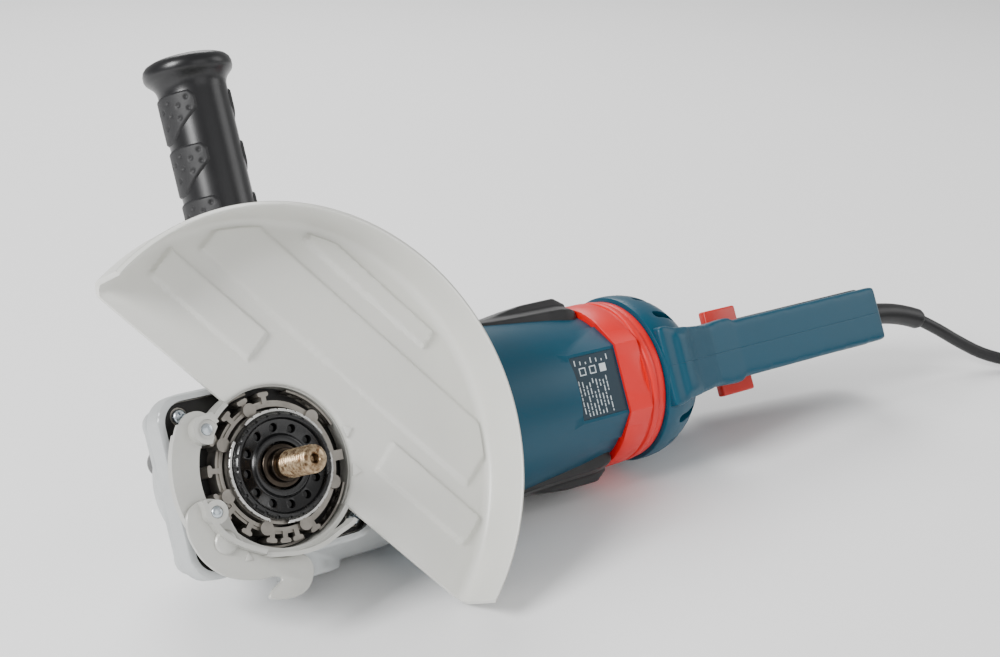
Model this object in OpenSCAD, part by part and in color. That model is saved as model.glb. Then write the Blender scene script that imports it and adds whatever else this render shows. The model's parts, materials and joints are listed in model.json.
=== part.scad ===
// Angle grinder for 230 mm discs, lying on its side as it is put down.
// Every sub-part is drawn in the tool's own frame and then laid down:
//   X runs rearward along the motor axis, -Y is the direction the spindle points,
//   +Z is the side the side handle is screwed into, and the frame's zero is
//   where the motor axis crosses the spindle axis.

/* [Stance] */
// Lean of the tool about the motor axis as it lies, in degrees
tilt = 26.5; // [20:0.5:32]
// Slope of the motor axis, down towards the rear handle, in degrees
pitch = 1; // [0:0.1:1.4]
// Height of the zero of the tool above the surface it lies on
lift = 60.32; // [60:0.01:66]

/* [Spindle] */
// Major diameter of the spindle thread
thread_d = 14; // [10:1:16]
// Distance from the motor axis to the spindle's tip
tip_drop = 96.4; // [92:0.2:100]
// Distance from the motor axis to the start of the thread
thread_drop = 68; // [66:0.5:72]

/* [Guard] */
// Outside diameter of the guard
guard_d = 254; // [240:1:262]
// Distance from the motor axis to the guard's flat face
guard_drop = 58; // [57.5:0.5:60]
// Depth of the guard's rim below its flat face
rim_depth = 30; // [20:1:36]
// Thickness of the guard's sheet
sheet = 2.5; // [2:0.1:3]
// Direction of the middle of the guard, from the rearward axis, in degrees
guard_clock = 39.2; // [20:0.1:60]
// Distance from the spindle axis to the guard's straight edge
chord_off = 7.5; // [5:0.5:12]

/* [Body] */
// Half width of the gear housing's front flange
flange_half = 46; // [44:1:48]
// Radius of the motor housing where it meets the gear housing
motor_r_front = 54; // [52:0.5:54.5]
// Radius of the motor housing just ahead of the vibration ring
motor_r_rear = 45; // [44:0.5:47]
// Distance from the spindle to the front of the vibration ring
ring_x = 232.5; // [228:0.5:236]
// Width of the vibration ring
ring_w = 30; // [24:1:34]

/* [Handles] */
// Half width of the hard rear handle
loop_half = 18; // [15:0.5:19]
// Half width of the soft grip
grip_half = 19; // [18.5:0.5:22]
// Distance from the spindle axis to the side handle's axis
side_x = 30; // [24:1:34]
// Radius of the side handle's grip
side_r = 18.5; // [16:0.5:20]
// Height of the side handle's end above the motor axis
side_top = 220.5; // [200:0.5:224]

/* [Cord] */
// Diameter of the mains cord
cord_d = 8.5; // [7:0.5:9.5]
// Radius of the coil at the middle of its turns
coil_r = 51; // [46:1:56]

/* [Hidden] */
$fn = 64;

// Where the tool's zero stands from the origin, which is under the middle of the tool
origin_x = -207.05;
origin_y = 3;

ring_end = ring_x + ring_w;
guard_r = guard_d / 2;
thread_r = thread_d / 2;
side_y = -4;          // side handle axis, towards the disc side of the motor axis
boss_z = 60;          // face of each side handle boss
stud_r = 5.95;        // minor radius of the side handle's thread
hole_r = 6;           // minor radius of its threaded hole
hole_depth = 18;      // depth of that hole
joint_x = 77;         // where the gear housing meets the motor housing
crown_teeth = 40;
pinion_teeth = 10;
tooth_w = 1.8;
pin_up = [-36.5, 25.5];      // upper clamp pin, as x and z
pin_low = [-42.5, -13.5];    // lower clamp pin
rivet_at = [-39.5, -28.5];   // pivot of the clamp lever
screw_at = [40, 35];         // corner screws of the bearing flange
ear_at = 35.4;               // motor housing screws, as y and z
trigger_at = [343, 17];      // trigger pin, as x and y

// Outline of the closed rear handle, as x and y
loop_outline = [
    [272, -46], [300, -42.5], [314, -38], [400, -33], [468, -29], [476, -25], [482, -14],
    [482, 14], [476, 24], [464, 30], [400, 40], [340, 47], [310, 48], [280, 46]
];
// Outline of the opening for the fingers
finger_gap = [
    [336, -25], [440, -19.5], [450, -14], [448, -6], [436, -1], [345, 11], [335, 8], [328, -2], [328, -16]
];

// Screws that hold the two shells of the rear handle together, as x and y
loop_screws = [[324.2, -12], [459, -18], [318, 41]];

// Strain relief: where its bend starts, its radius, its angle and its lean to the front
relief_x = 486;
relief_bend = 138;
relief_turn = 24;
relief_lean = 25;
relief_drop = relief_bend * (1 - cos(relief_turn));
relief_end = [
    relief_x + relief_bend * sin(relief_turn), -relief_drop * sin(relief_lean), -relief_drop * cos(relief_lean)
];

// Cord route, from the strain relief's end to the coil, on the surface the tool lies on
cord_start = [
    relief_end[0] * cos(pitch) + relief_end[2] * sin(pitch),
    relief_end[1],
    lift - relief_end[0] * sin(pitch) + relief_end[2] * cos(pitch)
];
cord_route = concat([cord_start], [
    [558, -10.4, 30.8], [573, -18, 20.8], [587, -28, 12.4], [602, -38.5, 7.4], [618, -47, 5.7], [634, -54, 5.3],
    [652, -59.5, 5.25], [670, -63.6, 5.25], [686.4, -66.3, 5.25]
]);
coil_at = [672, -124, 0];
coil_z = 1;
coil_rows = 4;
coil_columns = 3;
tail_route = [
    [672, -183.5, 30.75], [654, -183.5, 29.3], [636, -183.5, 24.7], [620, -183.5, 20], [606, -183.5, 18.6]
];
plug_at = [550, -183.5, 18.6];

// ---------------------------------------------------------------- helpers

// Lays a sub-part down as the whole tool lies
module laid() {
    translate([origin_x, origin_y, lift])
        rotate([0, pitch, 0])
            rotate([-tilt, 0, 0])
                children();
}

// Places what lies level beside the tool, such as the cord
module level() {
    translate([origin_x, origin_y, 0])
        children();
}

// Cylinder round a line along X at height (y, z)
module rod_x(x0, x1, r, y = 0, z = 0) {
    translate([x0, y, z])
        rotate([0, 90, 0])
            cylinder(h = x1 - x0, r = r);
}

// Cylinder round a line along Y, from y1 down to y0
module rod_y(y0, y1, r, x = 0, z = 0) {
    translate([x, y1, z])
        rotate([90, 0, 0])
            cylinder(h = y1 - y0, r = r);
}

// Cylinder round a line along Z
module rod_z(z0, z1, r, x = 0, y = 0) {
    translate([x, y, z0])
        cylinder(h = z1 - z0, r = r);
}

// Box from its lowest corner to its highest
module block(low, high) {
    translate(low)
        cube(high - low);
}

// Solid turned about the motor axis, from points [radius, x]
module turned_x(points) {
    rotate([0, 90, 0])
        rotate_extrude($fn = 96)
            polygon(points);
}

// Solid turned about the spindle axis, from points [radius, drop]
module turned_y(points) {
    rotate([90, 0, 0])
        rotate_extrude($fn = 96)
            polygon(points);
}

// Plate in the plane of the disc, from points [x, z], between two drops
module disc_plate(points, drop0, drop1) {
    translate([0, -drop0, 0])
        rotate([90, 0, 0])
            linear_extrude(height = drop1 - drop0)
                polygon(points);
}

// Deep groove ball bearing along X or Y is built along Z and turned by the caller
module ball_bearing(r_out, r_in, w, balls) {
    wall = (r_out - r_in) * 0.26;
    mid = (r_out + r_in) / 2;
    ball = (r_out - r_in) / 2 - wall - 0.05;
    difference() {
        cylinder(h = w, r = r_out);
        translate([0, 0, -1])
            cylinder(h = w + 2, r = r_out - wall);
    }
    difference() {
        cylinder(h = w, r = r_in + wall);
        translate([0, 0, -1])
            cylinder(h = w + 2, r = r_in);
    }
    for (i = [0 : balls - 1])
        rotate([0, 0, i * 360 / balls])
            translate([mid, 0, w / 2])
                sphere(r = ball, $fn = 32);
}

// Pan-head screw standing along +Z, its head's seat at zero
module pan_screw(head_r, head_h, shank_r, shank_l) {
    difference() {
        cylinder(h = head_h, r = head_r);
        translate([0, 0, head_h - 1])
            cylinder(h = 2, r = head_r * 0.45, $fn = 6);
    }
    translate([0, 0, -shank_l])
        cylinder(h = shank_l, r = shank_r);
}

// Ring of ten sides swept along a list of points
module swept_tube(route, r) {
    sides = 10;
    count = len(route);
    points = [
        for (i = [0 : count - 1])
            let (
                a = route[max(i - 1, 0)],
                b = route[min(i + 1, count - 1)],
                t = (b - a) / norm(b - a),
                s = cross([0, 0, 1], t) / norm(cross([0, 0, 1], t)),
                u = cross(t, s)
            )
            for (k = [0 : sides - 1])
                route[i] + r * (cos(k * 360 / sides) * s + sin(k * 360 / sides) * u)
    ];
    sideways = [
        for (i = [0 : count - 2])
            for (k = [0 : sides - 1])
                [i * sides + k, i * sides + (k + 1) % sides, (i + 1) * sides + (k + 1) % sides, (i + 1) * sides + k]
    ];
    first = [[for (k = [sides - 1 : -1 : 0]) k]];
    last = [[for (k = [0 : sides - 1]) (count - 1) * sides + k]];
    polyhedron(points = points, faces = concat(first, sideways, last), convexity = 4);
}

// ---------------------------------------------------------------- gear head

// Plate with round corners in the plane of the disc
module round_plate(half_x, half_z, r, drop0, drop1) {
    block([r - half_x, -drop1, -half_z], [half_x - r, -drop0, half_z]);
    block([-half_x, -drop1, r - half_z], [half_x, -drop0, half_z - r]);
    for (sx = [-1, 1])
        for (sz = [-1, 1])
            rod_y(-drop1, -drop0, r, sx * (half_x - r), sz * (half_z - r));
}

module housing_outside() {
    round_plate(flange_half + 7, flange_half, 14, 35, 46.5);
    // body round the crown gear, and the dome above it
    turned_y([[0, 46], [45.5, 46], [45.5, 12], [43, 2], [34, -14], [28, -24], [22, -34], [17, -41], [12, -44], [0, -44]]);
    // rear part that widens to the motor
    difference() {
        turned_x([[0, 0], [40, 0], [47, 14], [56, 36], [57, 44], [57, joint_x], [0, joint_x]]);
        block([-10, -70, -70], [90, -50, 70]);
        block([-10, -70, -70], [51, -46, 70]);
        block([-10, 53, -70], [90, 70, 70]);
    }
    // bosses for the side handle
    rod_z(-boss_z, boss_z, 17, side_x, side_y);
}

module gear_housing() {
    color("silver")
        laid()
            difference() {
                housing_outside();
                // pocket of the bearing flange and the crown gear
                round_plate(flange_half + 3.3, flange_half - 3.7, 11, 43, 47);
                rod_y(-47, -38, 42.05);
                rod_y(-38.5, -6, 43);
                turned_y([[0, 7], [40, 7], [38, 0], [30, -13], [24, -23], [18, -32], [13, -37], [0, -37]]);
                // seat of the upper spindle bush
                rod_y(36, 41, 9);
                // pinion chamber, pinion bearing seat and the open rear
                rod_x(10, 47, 16);
                rod_x(46, 59, 16);
                rod_x(58, 62, 20);
                rod_x(61, joint_x + 1, 49);
                // threaded holes of the side handle
                rod_z(boss_z - hole_depth, boss_z + 1, hole_r, side_x, side_y);
                rod_z(-boss_z - 1, -boss_z + hole_depth, hole_r, side_x, side_y);
                // screw holes
                for (sx = [-1, 1])
                    for (sz = [-1, 1])
                        rod_y(-47, -36.5, 2.05, sx * screw_at[0], sz * screw_at[1]);
                for (sy = [-1, 1])
                    for (sz = [-1, 1])
                        rod_x(63, joint_x + 1, 2.55, sy * ear_at, sz * ear_at);
                // spindle lock
                rod_y(-12, 50, 3.3, -16, 16);
                rod_y(28, 50, 8.4, -16, 16);
            }
}

module bearing_flange() {
    color("silver")
        laid()
            difference() {
                union() {
                    round_plate(flange_half + 3, flange_half - 4, 10.7, 43.02, 45.8);
                    rod_y(-45.8, -40, 41.9);
                    rod_y(-60, -33, 28.4);
                    difference() {
                        rod_y(-57, -45, 33);
                        rod_y(-58, -48, 29.6);
                    }
                    // fingers that locate the guard
                    for (a = [0 : 30 : 330])
                        rotate([0, a, 0])
                            block([31.5, -57, -2.4], [37.4, -45, 2.4]);
                    // bosses on the rim
                    for (a = [15 : 60 : 315])
                        rotate([0, a, 0])
                            rod_y(-59, -45, 3.6, 31, 0);
                }
                // bearing seat, black cover seat and spindle hole
                rod_y(-47, -32, 23.55);
                rod_y(-61, -49, 26.7);
                rod_y(-50, -46, 14);
                for (sx = [-1, 1])
                    for (sz = [-1, 1])
                        rod_y(-47, -42, 2.05, sx * screw_at[0], sz * screw_at[1]);
            }
}

module bearing_cover() {
    color("black")
        laid()
            difference() {
                turned_y([[12, 50], [26.5, 50], [26.5, 63.6], [25.2, 65], [23.6, 65], [22.6, 62.5], [15.5, 61], [14.5, 63], [12, 63]]);
                for (a = [0 : 30 : 330])
                    rotate([0, a, 0])
                        rod_y(-66, -56, 2.3, 19, 0);
            }
}

module retaining_ring() {
    color("gainsboro")
        laid()
            difference() {
                rod_y(-62, -60.2, 28.3);
                rod_y(-63, -59, 26.8);
                for (a = [12, 132, 252])
                    rotate([0, a, 0])
                        block([20, -64, -5], [32, -58, 5]);
            }
}

module flange_screws() {
    color("lightsteelblue")
        laid()
            for (sx = [-1, 1])
                for (sz = [-1, 1])
                    translate([sx * screw_at[0], -45.8, sz * screw_at[1]])
                        rotate([90, 0, 0])
                            pan_screw(3.7, 3, 2, 9);
}

module spindle_bearing() {
    color("lightgray")
        laid()
            translate([0, -33, 0])
                rotate([90, 0, 0])
                    ball_bearing(23.5, 10.05, 13, 8);
}

module spindle_bush() {
    color("goldenrod")
        laid()
            difference() {
                rod_y(30, 41, 8.9);
                rod_y(29, 42, 5.05);
            }
}

module spindle() {
    color("darkkhaki")
        laid()
            difference() {
                turned_y([
                    [0, -38], [4.6, -38], [5, -37.5], [5, -28], [8, -26], [8, 8], [10, 8.01], [10, 49], [11, 49.01],
                    [11, 63], [8.5, 63.01], [8.5, thread_drop - 0.01], [thread_r, thread_drop],
                    [thread_r, tip_drop - 1], [thread_r - 1, tip_drop], [0, tip_drop]
                ]);
                rod_y(-tip_drop - 1, -tip_drop + 8, 3.2);
            }
}

module crown_gear() {
    lean = atan(1 / 4);
    color("dimgray")
        laid()
            difference() {
                union() {
                    turned_y([[10, 14], [26, 14], [28, 8.2], [42, 11.7], [42, 20], [36, 24], [14, 24], [14, 27], [10, 27]]);
                    for (i = [0 : crown_teeth - 1])
                        rotate([0, (i + 0.5) * 360 / crown_teeth, 0])
                            rotate([0, 0, -lean])
                                block([29, -1.5, -tooth_w / 2], [43, 0.8, tooth_w / 2]);
                }
                rotate([90, 0, 0])
                    difference() {
                        translate([0, 0, -10])
                            cylinder(h = 50, r = 60);
                        translate([0, 0, -11])
                            cylinder(h = 52, r = 42);
                    }
            }
}

module pinion_gear() {
    lean = atan(1 / 4);
    color("dimgray")
        laid()
            difference() {
                union() {
                    turned_x([[5, 30], [6.2, 30], [9.2, 42], [9.2, 46.5], [5, 46.5]]);
                    for (i = [0 : pinion_teeth - 1])
                        rotate([i * 360 / pinion_teeth, 0, 0])
                            rotate([0, 0, -lean])
                                block([31, -0.8, -tooth_w / 2], [43, 1.6, tooth_w / 2]);
                }
                rod_x(29, 47, 5);
            }
}

module pinion_bearing() {
    color("lightgray")
        laid()
            translate([48, 0, 0])
                rotate([0, 90, 0])
                    ball_bearing(16, 6.05, 10, 8);
}

module spindle_lock_button() {
    color("black")
        laid() {
            rod_y(34, 44, 8, -16, 16);
            rod_y(-7, 35, 3, -16, 16);
        }
}

// Wave spring under the button, at its pressed height
module lock_spring() {
    color("gray")
        laid()
            difference() {
                rod_y(28.1, 29.8, 6, -16, 16);
                rod_y(28, 30, 4, -16, 16);
            }
}

// ---------------------------------------------------------------- motor

module motor_housing() {
    color([0.03, 0.32, 0.42])
        laid()
            difference() {
                union() {
                    turned_x([
                        [0, joint_x], [motor_r_front, joint_x], [51, 178], [motor_r_rear, ring_x],
                        [43, ring_x + 0.01], [43, ring_end], [0, ring_end]
                    ]);
                    // flat that carries the label
                    block([192, -48.5, -22], [ring_x, -30, 22]);
                    // ears of the long screws
                    for (sy = [-1, 1])
                        for (sz = [-1, 1])
                            rod_x(joint_x, 96, 6.5, sy * ear_at, sz * ear_at);
                }
                turned_x([
                    [0, joint_x - 1], [50.5, joint_x - 1], [47.5, 178], [41.5, 226], [13.05, 226.01],
                    [13.05, 240], [40, 240.01], [40, ring_end + 1], [0, ring_end + 1]
                ]);
                for (sy = [-1, 1])
                    for (sz = [-1, 1]) {
                        rod_x(joint_x - 1, 97, 2.55, sy * ear_at, sz * ear_at);
                        // room of the screw's head, open to the outside
                        rod_x(96, 100.5, 4.8, sy * ear_at, sz * ear_at);
                    }
                // air inlets on the far side
                for (i = [0 : 5])
                    for (sz = [-1, 1])
                        block([184 + i * 7, 34, sz * 12 - 8], [187 + i * 7, 56, sz * 12 + 8]);
                // label recess
                block([199, -49, -18.2], [ring_x - 0.5, -47.9, 18.2]);
            }
}

module label_plate() {
    color("darkslategray")
        laid()
            block([199.2, -48.3, -18], [ring_x - 1, -47.9, 18]);
}

module air_baffle() {
    color("gray")
        laid()
            turned_x([[37, 99.5], [49.7, 99.5], [49.7, 101.8], [40, 101.8], [37, 101]]);
}

module stator_core() {
    color("slategray")
        laid()
            difference() {
                rod_x(112, 182, 46);
                rod_x(111, 183, 28.5);
                for (a = [45 : 90 : 315])
                    rotate([a, 0, 0])
                        block([111, 27, -7], [183, 38, 7]);
            }
}

module field_coils() {
    color("chocolate")
        laid() {
            turned_x([[30, 102], [42, 102], [44, 104], [44, 111.8], [30, 111.8]]);
            turned_x([[30, 182.2], [44, 182.2], [44, 190], [42, 192], [30, 192]]);
        }
}

module rear_bearing() {
    color("lightgray")
        laid()
            translate([228, 0, 0])
                rotate([0, 90, 0])
                    ball_bearing(13, 5.05, 9, 7);
}

module brush_holders() {
    color("goldenrod")
        laid()
            for (s = [-1, 1])
                difference() {
                    block([199, s > 0 ? 18 : -41, -7], [213, s > 0 ? 41 : -18, 7]);
                    block([201, s > 0 ? 17 : -40, -5], [211, s > 0 ? 40 : -17, 5]);
                }
}

module carbon_brushes() {
    color("black")
        laid()
            for (s = [-1, 1])
                block([201.3, s > 0 ? 15.9 : -31, -4.7], [210.7, s > 0 ? 31 : -15.9, 4.7]);
}

module brush_springs() {
    color("silver")
        laid()
            for (s = [-1, 1])
                difference() {
                    rod_y(s > 0 ? 31.2 : -39.8, s > 0 ? 39.8 : -31.2, 4, 206, 0);
                    rod_y(s > 0 ? 31 : -40, s > 0 ? 40 : -31, 3, 206, 0);
                }
}

module housing_screws() {
    color("lightsteelblue")
        laid()
            for (sy = [-1, 1])
                for (sz = [-1, 1])
                    translate([96, sy * ear_at, sz * ear_at])
                        rotate([0, 90, 0])
                            pan_screw(4.4, 3.2, 2.5, 30);
}

module armature_shaft() {
    color("lightgray")
        laid()
            turned_x([
                [0, 30.5], [5, 30.5], [5, 46.8], [6, 46.81], [6, 62], [8, 62.01], [8, 226],
                [5, 226.01], [5, 238], [0, 238]
            ]);
}

module rotor_core() {
    color("slategray")
        laid()
            difference() {
                rod_x(114, 180, 27.5);
                rod_x(113, 181, 8);
                for (a = [0 : 30 : 330])
                    rotate([a, 0, 0])
                        block([113, 22, -1.2], [181, 29, 1.2]);
            }
}

module rotor_windings() {
    color("chocolate")
        laid() {
            turned_x([[8, 104], [19, 104], [23, 108], [23, 113.8], [8, 113.8]]);
            turned_x([[8, 180.2], [23, 180.2], [23, 186], [17, 192], [8, 192]]);
        }
}

module commutator() {
    color("peru")
        laid()
            difference() {
                rod_x(195, 217, 15.5);
                rod_x(194, 218, 8);
                for (a = [0 : 15 : 345])
                    rotate([a, 0, 0])
                        block([197, 14.4, -0.4], [218, 17, 0.4]);
            }
}

module cooling_fan() {
    color("darkgray")
        laid() {
            turned_x([[8, 82], [12, 82], [45, 94], [45, 96.5], [12, 96.5], [8, 96.5]]);
            for (a = [0 : 30 : 330])
                rotate([a, 0, 0])
                    translate([0, 0, -0.8])
                        linear_extrude(height = 1.6)
                            polygon([[82, 11], [82, 45], [94.2, 45], [82.2, 11]]);
        }
}

module bumper(side) {
    color("black")
        laid()
            intersection() {
                difference() {
                    turned_x([[40, 150], [53.2, 150], [54.5, 158], [54.5, 224], [50, ring_x - 0.3], [40, ring_x - 0.3]]);
                    turned_x([[0, 77], [54.05, 77], [51.05, 178], [45.05, ring_x], [0, ring_x]]);
                }
                rotate([side > 0 ? 0 : 180, 0, 0])
                    rotate([0, 90, 0])
                        linear_extrude(height = 300)
                            polygon([[0, 0], [-80, -34], [-80, 34]]);
            }
}

module bumper_left() {
    bumper(1);
}

module bumper_right() {
    bumper(-1);
}

module vibration_ring() {
    color([1, 0.21, 0.19])
        laid()
            turned_x([
                [43.1, ring_x], [48.6, ring_x], [49.4, ring_x + 0.8], [49.2, ring_x + 17], [47.6, ring_x + 18],
                [47.6, ring_x + 20], [49, ring_x + 21], [49, ring_x + 24], [48.2, ring_x + 25],
                [48.2, ring_end - 0.8], [47.4, ring_end], [43.1, ring_end]
            ]);
}

// ---------------------------------------------------------------- rear handle

module base_outside() {
    turned_x([
        [0, 263], [49.6, 263], [50.5, 264], [50.5, 270], [49, 276], [45, 283], [38.5, 290], [31, 295],
        [20, 298], [0, 298]
    ]);
}

module handle_base() {
    color([0.03, 0.32, 0.42])
        laid()
            difference() {
                union() {
                    base_outside();
                    rod_x(246, 264, 39.9);
                }
                turned_x([
                    [0, 245], [37, 245], [37, 262], [47.5, 266], [47.5, 270], [46, 275.5], [42.3, 281.5],
                    [36.5, 287.3], [29.5, 292], [19.5, 295], [0, 295]
                ]);
                // passage of the wires into the grip
                rod_x(288, 300, 8, 16, 0);
                // cooling slots
                for (side = [-1, 1])
                    for (a = [60 : 20 : 120])
                        rotate([side * a, 0, 0])
                            block([273, 34, -1.6], [286, 60, 1.6]);
                // track of the release slide
                block([267, 44, -8.3], [281, 56, 8.3]);
            }
}

module handle_release() {
    color("black")
        laid() {
            block([267.3, 47.8, -8], [276.5, 53, 8]);
            for (i = [0 : 2])
                block([268.5 + i * 3, 53, -7], [270 + i * 3, 53.9, 7]);
        }
}

module loop_slab(half) {
    translate([0, 0, -half])
        linear_extrude(height = 2 * half)
            difference() {
                polygon(loop_outline);
                polygon(finger_gap);
            }
}

module loop_body() {
    difference() {
        union() {
            loop_slab(loop_half);
            // root that widens to the base
            intersection() {
                loop_slab(24);
                translate([0, 60, 0])
                    rotate([90, 0, 0])
                        linear_extrude(height = 120)
                            polygon([
                                [262, -23], [262, 23], [276, 22], [292, 20.4], [312, 18.8], [332, loop_half],
                                [332, -loop_half], [312, -18.8], [292, -20.4], [276, -22]
                            ]);
            }
        }
        base_outside();
        // hollow of the grip
        translate([0, 0, -loop_half + 3])
            linear_extrude(height = 2 * loop_half - 6)
                polygon([
                    [304, 24], [350, 14.5], [436, 3], [460, 8], [472, 14], [460, 26], [400, 36], [324, 43],
                    [322, 34], [304, 34]
                ]);
        // hollow of the guard bar
        translate([0, 0, -loop_half + 3])
            linear_extrude(height = 2 * loop_half - 6)
                polygon([[322, -34], [400, -29.6], [446, -27], [446, -23.4], [400, -25.4], [322, -29.4]]);
        // slot of the trigger
        block([338, -6, -13.5], [433, 24, 13.5]);
        for (p = loop_screws) {
            rod_z(loop_half - 5, loop_half + 1, 3.6, p[0], p[1]);
            rod_z(-9, loop_half, 1.55, p[0], p[1]);
        }
        // hole of the strain relief
        rod_x(468, 484, 7.6);
    }
}

module handle_shell_left() {
    color([0.03, 0.32, 0.42])
        laid()
            intersection() {
                loop_body();
                block([260, -60, 0.05], [500, 60, 30]);
            }
}

module handle_shell_right() {
    color([0.03, 0.32, 0.42])
        laid()
            intersection() {
                loop_body();
                block([260, -60, -30], [500, 60, -0.05]);
            }
}

module soft_grip() {
    color("black")
        laid()
            difference() {
                translate([0, 0, -grip_half])
                    linear_extrude(height = 2 * grip_half)
                        polygon([
                            [354, 14], [440, 2.5], [454, -4], [476, -9], [486, -2], [486, 16], [478, 29],
                            [465, 34], [400, 44], [360, 49.5], [354, 48]
                        ]);
                translate([0, 0, -loop_half - 0.02])
                    linear_extrude(height = 2 * loop_half + 0.04)
                        polygon([
                            [340, -20], [478, -20], [482.02, -14], [482.02, 14.02], [476.02, 24.03],
                            [464.02, 30.03], [400, 40.03], [340, 47.03]
                        ]);
                rod_x(470, 490, 10);
            }
}

module handle_screws() {
    color("dimgray")
        laid()
            for (p = loop_screws)
                translate([p[0], p[1], loop_half - 5])
                    pan_screw(3.4, 2.4, 1.5, 18);
}

module switch_block() {
    color("black")
        laid()
            block([384, 17, -11], [436, 27, 11]);
}

module trigger_pin() {
    color("silver")
        laid()
            rod_z(-13.5, 13.5, 2, trigger_at[0], trigger_at[1]);
}

module trigger() {
    color([0.9, 0.2, 0.16])
        laid()
            difference() {
                union() {
                    translate([0, 0, -13])
                        linear_extrude(height = 26)
                            polygon([[340, 14], [345, 2.5], [376, -1], [426, -7.5], [430, -5], [430, 2], [426, 5], [376, 10], [350, 15]]);
                    block([342.5, -6, -27.5], [369.5, 1, 27.5]);
                    rod_z(-13, 13, 4.5, trigger_at[0], trigger_at[1]);
                }
                rod_z(-30, 30, 2.05, trigger_at[0], trigger_at[1]);
                block([384, -12, -5.2], [402, 1, 5.2]);
            }
}

module lock_off_catch() {
    color("darkred")
        laid()
            block([384.3, -9, -5], [396, 0.6, 5]);
}

// ---------------------------------------------------------------- guard

module guard_side() {
    // half space of the guard, beyond its straight edge
    rotate([0, -guard_clock, 0])
        block([chord_off, -120, -200], [300, 0, 200]);
}

module guard_shell() {
    color([0.83, 0.83, 0.8])
        laid()
            difference() {
                intersection() {
                    union() {
                        rod_y(-guard_drop, -guard_drop + sheet, guard_r);
                        difference() {
                            rod_y(-guard_drop - rim_depth, -guard_drop + sheet, guard_r);
                            rod_y(-guard_drop - rim_depth - 1, -guard_drop, guard_r - sheet);
                        }
                    }
                    guard_side();
                }
                rod_y(-guard_drop - 1, -guard_drop + sheet + 1, 40.6);
            }
}

// Eye that a strap is rolled into round its pin
module strap_eye(at, drop0, drop1) {
    rod_y(-drop1, -drop0, 5.8, at[0], at[1]);
}

module clamp_band() {
    color([0.83, 0.83, 0.8])
        laid()
            difference() {
                union() {
                    difference() {
                        union() {
                            rod_y(-guard_drop + sheet, -47.2, 42.4);
                            difference() {
                                rod_y(-60, -guard_drop + sheet, 42.4);
                                guard_side();
                            }
                        }
                        // gap between the two ends
                        rotate([0, -175, 0])
                            disc_plate([[0, 0], [80, -38], [80, 38]], 40, 70);
                    }
                    strap_eye(pin_up, 50, 66);
                }
                rod_y(-67, -46, 40);
                rod_y(-67, -46, 3.02, pin_up[0], pin_up[1]);
            }
}

module link_pin() {
    color("gainsboro")
        laid()
            rod_y(-67, -48.4, 3, pin_up[0], pin_up[1]);
}

module clamp_link() {
    color([0.83, 0.83, 0.8])
        laid()
            difference() {
                union() {
                    intersection() {
                        difference() {
                            rod_y(-60.2, -57.6, 57);
                            rod_y(-61, -57, 43);
                        }
                        rotate([0, -178, 0])
                            disc_plate([[0, 0], [80, -50], [80, 62]], 57, 61);
                    }
                    rod_y(-60.2, -57.6, 9, pin_up[0] - 2, pin_up[1] + 1);
                    rod_y(-60.2, -57.6, 8, rivet_at[0] - 2, rivet_at[1] + 1);
                }
                rod_y(-61, -57, 42.6);
                rod_y(-61, -57, 5.85, pin_up[0], pin_up[1]);
                rod_y(-61, -57, 2.55, rivet_at[0], rivet_at[1]);
            }
}

module lever_rivet() {
    color([0.83, 0.83, 0.8])
        laid() {
            rod_y(-63.8, -57.8, 2.5, rivet_at[0], rivet_at[1]);
            rod_y(-65.6, -63.8, 5.8, rivet_at[0], rivet_at[1]);
        }
}

module clamp_lever() {
    color([0.83, 0.83, 0.8])
        laid()
            difference() {
                disc_plate([
                    [-50, -7.5], [-55.5, -12], [-57, -22], [-54, -34], [-47, -44], [-37, -51], [-24, -54], [-14, -54.5],
                    [-12, -57], [-22, -58.5], [-23, -62], [-14, -66], [-3, -66.5], [4, -62], [7.5, -54], [6, -48],
                    [0, -43.8], [-12, -42.5], [-22, -38.5], [-29, -32], [-33, -22], [-36.5, -10], [-43, -6.5]
                ], 60.8, 63.4);
                rod_y(-64, -60, 2.56, rivet_at[0], rivet_at[1]);
                rod_y(-64, -60, 3.05, pin_low[0], pin_low[1]);
            }
}

module strap_hook() {
    color([0.83, 0.83, 0.8])
        laid()
            difference() {
                union() {
                    strap_eye(pin_low, 63.6, 69);
                    intersection() {
                        difference() {
                            rod_y(-69, -63.6, 49.6);
                            rod_y(-70, -63, 47.2);
                        }
                        rotate([0, -202, 0])
                            disc_plate([[0, 0], [80, -8], [80, 4]], 63, 70);
                    }
                }
                rod_y(-70, -63, 3.02, pin_low[0], pin_low[1]);
            }
}

module hook_pin() {
    color("gainsboro")
        laid()
            rod_y(-69.6, -60.9, 3, pin_low[0], pin_low[1]);
}

// ---------------------------------------------------------------- side handle

module side_handle_grip() {
    color("black")
        laid()
            translate([side_x, side_y, 0])
                difference() {
                    rotate_extrude($fn = 96)
                        polygon([
                            [0, 60.5], [24, 60.5], [25, 61.5], [25, 66], [23, 68.5], [17, 72], [14.5, 77], [14.5, 86],
                            [17, 92], [side_r, 97], [side_r, side_top - 16], [20, side_top - 12.5],
                            [23.6, side_top - 9.5], [24, side_top - 6.5], [23, side_top - 2.2],
                            [19, side_top], [0, side_top]
                        ]);
                    cylinder(h = 112, r = stud_r);
                }
}

module side_handle_stud() {
    color("silver")
        laid()
            rod_z(boss_z - hole_depth + 1, 112, stud_r, side_x, side_y);
}

// ---------------------------------------------------------------- cord

module cord_relief() {
    color("black")
        translate([origin_x, origin_y, lift])
            rotate([0, pitch, 0]) {
                rod_x(470, relief_x, 7.3);
                rotate([-relief_lean, 0, 0])
                    translate([relief_x, 0, -relief_bend])
                        rotate([90, 0, 0])
                            rotate([0, 0, 90 - relief_turn])
                                rotate_extrude(angle = relief_turn)
                                    translate([relief_bend, 0])
                                        circle(r = 7.1);
            }
}

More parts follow.
